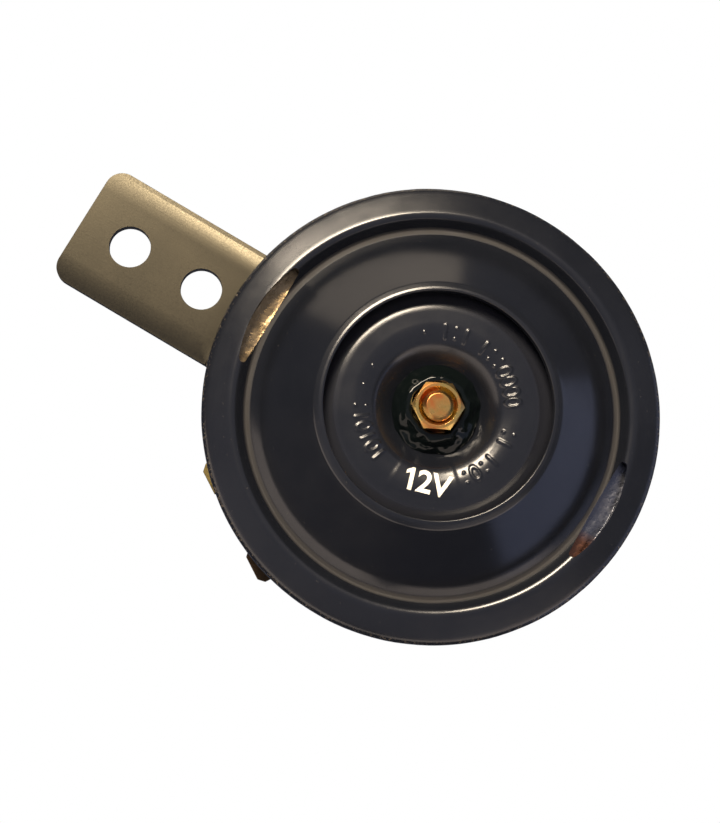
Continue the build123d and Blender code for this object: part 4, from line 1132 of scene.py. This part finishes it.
def add_floor():
    """A plain pale floor, far below the horn."""
    bm = bmesh.new()
    bmesh.ops.create_circle(bm, cap_ends=True, cap_tris=False, segments=96, radius=FLOOR_RADIUS)
    bmesh.ops.translate(bm, vec=(0, 0, FLOOR_LEVEL), verts=bm.verts)
    made = new_piece(bm, "pale_floor", placed=False)
    finish = bpy.data.materials.new("pale_floor_paint")
    finish.use_nodes = True
    tree = finish.node_tree
    seen = add_node(tree, "ShaderNodeLightPath", output="Is Camera Ray")
    glow = add_node(tree, "ShaderNodeEmission", {"Color": (1, 1, 1, 1), "Strength": 1.0}, 0)
    matt = add_node(tree, "ShaderNodeBsdfDiffuse", {"Color": colour("#D8D6D2")}, 0)
    both = add_node(tree, "ShaderNodeMixShader", {0: seen, 1: matt, 2: glow}, 0)
    tree.links.new(both, tree.nodes["Material Output"].inputs["Surface"])
    made.data.materials.append(finish)
    made.visible_glossy = False


def add_room(scene, strength):
    """A white backdrop for the camera and a dim room for everything else."""
    room = bpy.data.worlds.new("studio_room")
    room.use_nodes = True
    tree = room.node_tree
    tree.nodes.clear()
    seen = add_node(tree, "ShaderNodeLightPath", output="Is Camera Ray")
    white = add_node(tree, "ShaderNodeBackground", {"Color": (1, 1, 1, 1), "Strength": 1.0}, 0)
    dim = add_node(tree, "ShaderNodeBackground", {"Color": colour("#DCE1FF"), "Strength": strength}, 0)
    both = add_node(tree, "ShaderNodeMixShader", {0: seen, 1: dim, 2: white}, 0)
    add_node(tree, "ShaderNodeOutputWorld", {"Surface": both})
    scene.world = room


def add_lamp(name, power, hue, tilt, turn, size):
    """A soft rectangular lamp that faces the hub, tilted from the horn's axis and turned round it."""
    lamp = bpy.data.lights.new(name, "AREA")
    lamp.shape = "RECTANGLE"
    lamp.size, lamp.size_y = size
    lamp.energy = power
    lamp.color = colour(hue)[:3]
    made = bpy.data.objects.new(name, lamp)
    place = Matrix.Rotation(math.radians(turn), 4, "Z") @ Matrix.Rotation(math.radians(tilt), 4, "Y")
    place @= Matrix.Translation((0, 0, LAMP_AWAY)) @ Matrix.Rotation(math.pi / 2, 4, "Z")
    made.matrix_world = Matrix.Translation(HUB) @ PLACE.to_3x3().normalized().to_4x4() @ place
    made.visible_camera = False
    bpy.context.scene.collection.objects.link(made)


def add_camera(scene):
    """A camera a third of a metre off, a little to one side and turned on its side."""
    lens = bpy.data.cameras.new("camera")
    lens.sensor_fit = "HORIZONTAL"
    lens.sensor_width = 36.0
    lens.lens = 97.467
    lens.clip_start = 0.01
    made = bpy.data.objects.new("camera", lens)
    right = Vector((0.506091, -0.058958, -0.860463))
    up = Vector((0.85082, -0.129366, 0.509283))
    back = Vector((-0.141341, -0.989843, -0.015308))
    made.matrix_world = Matrix.Translation((-0.0504588, -0.3261526, -0.0455667)) @ Matrix(
        (right, up, back)
    ).transposed().to_4x4()
    scene.collection.objects.link(made)
    scene.camera = made


class HORN_PT_sidebar(bpy.types.Panel):
    """Sizes, colours, lights and pieces of the car horn"""

    bl_label = "Car Horn"
    bl_idname = "HORN_PT_sidebar"
    bl_space_type = "VIEW_3D"
    bl_region_type = "UI"
    bl_category = "Car Horn"

    def draw(self, context):
        for group in ("horn_sizes", "horn_colours", "horn_lights"):
            box = self.layout.box()
            settings = getattr(context.scene, group)
            for name in settings.__class__.__annotations__:
                box.prop(settings, name)
        for made in PIECES:
            self.layout.operator(made.bl_idname)


PIECES = (
    HORN_OT_add_case,
    HORN_OT_add_tone_disc,
    HORN_OT_add_front_fastening,
    HORN_OT_add_bracket,
    HORN_OT_add_terminals,
    HORN_OT_add_rear_fastening,
    HORN_OT_add_contact_leaf,
    HORN_OT_paint_solids,
    HORN_OT_add_stage,
)
GROUPS = {"horn_sizes": HornSizes, "horn_colours": HornColours, "horn_lights": HornLights}


def register():
    """Register the groups, operators and panel."""
    for made in (*GROUPS.values(), *PIECES, HORN_PT_sidebar):
        bpy.utils.register_class(made)
    for name, group in GROUPS.items():
        setattr(bpy.types.Scene, name, PointerProperty(type=group))


def unregister():
    """Take them out again."""
    for name in GROUPS:
        delattr(bpy.types.Scene, name)
    for made in reversed((*GROUPS.values(), *PIECES, HORN_PT_sidebar)):
        bpy.utils.unregister_class(made)


def main():
    """Dress the solids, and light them."""
    register()
    bpy.ops.horn.add_case()
    bpy.ops.horn.add_tone_disc()
    bpy.ops.horn.add_front_fastening()
    bpy.ops.horn.add_bracket()
    bpy.ops.horn.add_terminals()
    bpy.ops.horn.add_rear_fastening()
    bpy.ops.horn.add_contact_leaf()
    bpy.ops.horn.paint_solids()
    bpy.ops.horn.add_stage()


if __name__ == "__main__":
    main()
